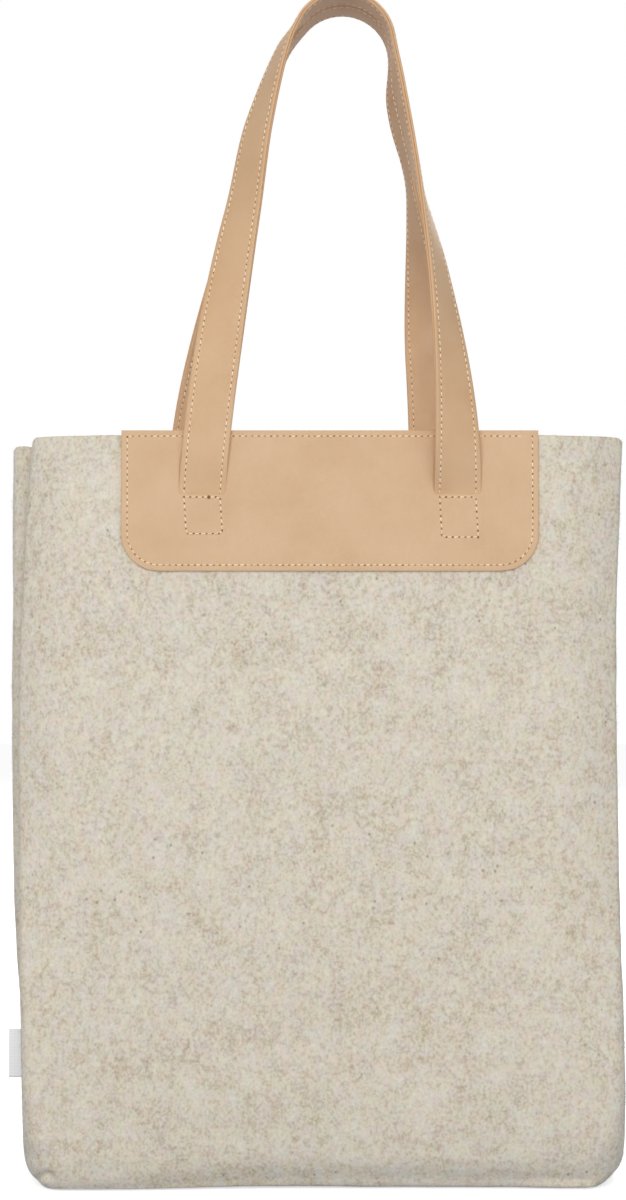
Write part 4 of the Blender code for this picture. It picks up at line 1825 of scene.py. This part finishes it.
    def stitch_row(self, ply: Ply, side: Side) -> list[Spot]:
        """A stitch row along one edge of a ply, from slit to slit."""
        across = side.value * (self.form.strap_width / 2 - self.row_inset)
        spots = []
        for at in self.stations()[2:-2]:
            out = at.face * ply.value
            lift = (self.ply - 0.04 * MM) * at.thickness
            spots.append(Spot(at.middle + at.width * across + out * lift, out))
        return spots

    def dress(self) -> None:
        """Builds the handle and bends it from its wall to its own body."""
        sewing = Sewing(f"{self.wall.word}_handle")
        for ply in Ply:
            for side in Side:
                sewing.row(self.stitch_row(ply, side))
        low = self.form.on_wall(self.wall, 0, self.form.slit_top - 1 * MM, self.out)
        high = low + self.form.up_wall(self.wall) * (self.bend_reach + 1 * MM)
        for piece in [self.leather(ply) for ply in Ply] + sewing.pieces():
            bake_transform(piece, self.wall.carrier, self.wall.handle, start=low, end=high)


@dataclass
class SideLabel:
    """The blank woven label, folded in two and sewn into the left side seam.

    Attributes:
        low: The label's lowest corner, with its outer end.
        high: Its highest corner, at the seam.
        thickness: The tape's thickness.
        parting: Between its two layers.
        rows: Facets over its height.
        columns: Facets along one layer.
        bend: How far from its inner end it begins to bend when it flaps, and how far out it is straight again.
    """

    low: Vector
    high: Vector
    thickness: float = 0.4 * MM
    parting: float = 1.0 * MM
    rows: int = 22
    columns: int = 26
    bend: tuple[float, float] = (3.5 * MM, 15 * MM)

    @classmethod
    def from_frame(cls) -> "SideLabel":
        """Takes the label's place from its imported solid."""
        low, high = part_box("side_label")
        return cls(low, high)

    def tape(self) -> bpy.types.Object:
        """The folded tape, a little curled."""
        radius = self.parting / 2
        turn = self.low.x + radius + self.thickness
        line = [(self.high.x + (turn - self.high.x) * step / self.columns, radius) for step in range(self.columns)]
        bend = [math.radians(90 + 180 * step / 10) for step in range(11)]
        line += [(turn + radius * math.cos(angle), radius * math.sin(angle)) for angle in bend]
        line += [(x, -y) for x, y in reversed(line[: self.columns])]
        rows = []
        for row in range(self.rows + 1):
            z = self.low.z + (self.high.z - self.low.z) * row / self.rows
            ring = []
            for x, y in line:
                reach = (self.high.x - x) / (self.high.x - self.low.x)
                curl = 0.9 * MM * reach**2 * math.sin(math.pi * row / self.rows + 0.5)
                wave = 0.25 * MM * reach * noise.noise(Vector((x * 90, 0, z * 90)))
                ring.append(Vector((x, y - curl + wave, z)))
            rows.append(ring)
        shape = loft(rows, closed=False, capped=False)
        shape.faces.ensure_lookup_table()
        first = min(shape.faces, key=lambda face: face.calc_center_median().x)
        if first.normal.x > 0:
            bmesh.ops.reverse_faces(shape, faces=shape.faces)
        piece = make_piece("side_label_tape", shape, Stock.of(TAPE))
        thicken(piece, self.thickness)
        return settle(piece)

    def dress(self) -> None:
        """Builds the label and lets it flap on its seam."""
        piece = self.tape()
        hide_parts("side_label")
        sewn, free = (Vector((self.high.x - way, 0, 0)) for way in self.bend)
        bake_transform(piece, "bag", "label", start=sewn, end=free)


@dataclass
class Stage:
    """The floor, the soft light and the camera.

    Attributes:
        eye: Where the camera stands.
        view_height: The height of the view at the bag's front.
        front: The bag's front along Y.
        sensor: The camera's long sensor side in millimetres.
        sky: The strength of the light from all round.
        floor_tone: The light that the floor gives back to the bag.
        floor_glow: What the floor adds where it is seen, so that it shows white beside the shadow.
    """

    eye: Vector = field(default_factory=lambda: Vector((-9 * MM, -1.333, 312.7 * MM)))
    view_height: float = 636 * MM
    front: float = -33 * MM
    sensor: float = 36.0
    sky: float = 0.4
    floor_tone: Colour = (0.34, 0.39, 0.5)
    floor_glow: float = 0.55

    def camera(self) -> None:
        """Sets the camera level in front of the bag."""
        lens = bpy.data.cameras.new("camera")
        lens.sensor_width = self.sensor
        lens.lens = self.sensor * (self.front - self.eye.y) / self.view_height
        camera = bpy.data.objects.new("camera", lens)
        camera.location = self.eye
        camera.rotation_euler = (math.pi / 2, 0, 0)
        bpy.context.scene.collection.objects.link(camera)
        bpy.context.scene.camera = camera

    def lamp(self, name: str, place: Vector, size: float, power: float) -> None:
        """A soft square lamp that looks at the bag's middle.

        Args:
            name: The lamp's name.
            place: Where it stands.
            size: The length of its sides.
            power: Its power in watts.
        """
        light = bpy.data.lights.new(name, "AREA")
        light.size = size
        light.energy = power
        lamp = bpy.data.objects.new(name, light)
        lamp.location = place
        lamp.rotation_euler = (Vector((0, 0, 0.3)) - place).to_track_quat("-Z", "Y").to_euler()
        bpy.context.scene.collection.objects.link(lamp)

    @staticmethod
    def seen(tree: bpy.types.NodeTree) -> bpy.types.NodeSocket:
        """Whether a ray is one that shows the background.

        Args:
            tree: The node tree that asks.

        Returns:
            1 for camera, glossy and transmission rays.
        """
        path = tree.nodes.new("ShaderNodeLightPath")
        shown = path.outputs["Is Camera Ray"]
        for name in ("Is Glossy Ray", "Is Transmission Ray"):
            either = tree.nodes.new("ShaderNodeMath")
            either.operation = "MAXIMUM"
            tree.links.new(shown, either.inputs[0])
            tree.links.new(path.outputs[name], either.inputs[1])
            shown = either.outputs[0]
        return shown

    def world(self) -> None:
        """Light from all round, on a background that shows white."""
        world = bpy.data.worlds.new("studio")
        world.use_nodes = True
        tree = world.node_tree
        mix = tree.nodes.new("ShaderNodeMapRange")
        mix.inputs["To Min"].default_value = self.sky
        tree.links.new(self.seen(tree), mix.inputs["Value"])
        background = tree.nodes["Background"]
        background.inputs["Color"].default_value = (1, 1, 1, 1)
        tree.links.new(mix.outputs["Result"], background.inputs["Strength"])
        bpy.context.scene.world = world

    def floor(self) -> None:
        """A pale floor that keeps the bag's shadow."""
        shape = bmesh.new()
        bmesh.ops.create_grid(shape, x_segments=1, y_segments=1, size=4)
        bmesh.ops.translate(shape, verts=shape.verts, vec=(0, 0, -0.2 * MM))
        material = bpy.data.materials.new("floor")
        material.use_nodes = True
        tree = material.node_tree
        tone = tree.nodes.new("ShaderNodeMix")
        tone.data_type = "RGBA"
        tone.inputs[6].default_value = (*self.floor_tone, 1)
        tone.inputs[7].default_value = (1, 1, 1, 1)
        tree.links.new(self.seen(tree), tone.inputs[0])
        surface = tree.nodes["Principled BSDF"]
        surface.inputs["Roughness"].default_value = 1
        surface.inputs["Specular IOR Level"].default_value = 0
        tree.links.new(tone.outputs[2], surface.inputs["Base Color"])
        glow = tree.nodes.new("ShaderNodeMapRange")
        glow.inputs["To Max"].default_value = self.floor_glow
        tree.links.new(self.seen(tree), glow.inputs["Value"])
        surface.inputs["Emission Color"].default_value = (1, 1, 1, 1)
        tree.links.new(glow.outputs["Result"], surface.inputs["Emission Strength"])
        make_piece("floor", shape, material)

    def set(self) -> None:
        """Sets the whole stage."""
        bpy.context.scene.view_settings.view_transform = "Standard"
        self.camera()
        self.world()
        self.floor()
        self.lamp("key", Vector((-0.25, -1.9, 0.75)), 1.3, 20.1)
        self.lamp("fill", Vector((1.0, -1.6, 0.7)), 1.2, 6.2)
        self.lamp("left", Vector((-1.6, -0.35, 0.6)), 1.0, 3)
        self.lamp("back", Vector((0.3, 1.9, 1.5)), 1.4, 24)


def main() -> None:
    """Builds and dresses the bag piece by piece."""
    logging.basicConfig(level=logging.INFO, format="%(message)s")
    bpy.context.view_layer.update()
    form = BagForm.from_frame()
    Stage().set()
    FeltBody(form).dress()
    SideLabel.from_frame().dress()
    for wall in Wall:
        LeatherPatch(form, wall).dress()
        StrapHandle(form, wall, LEGS[wall]).dress()


if __name__ == "__main__":
    main()
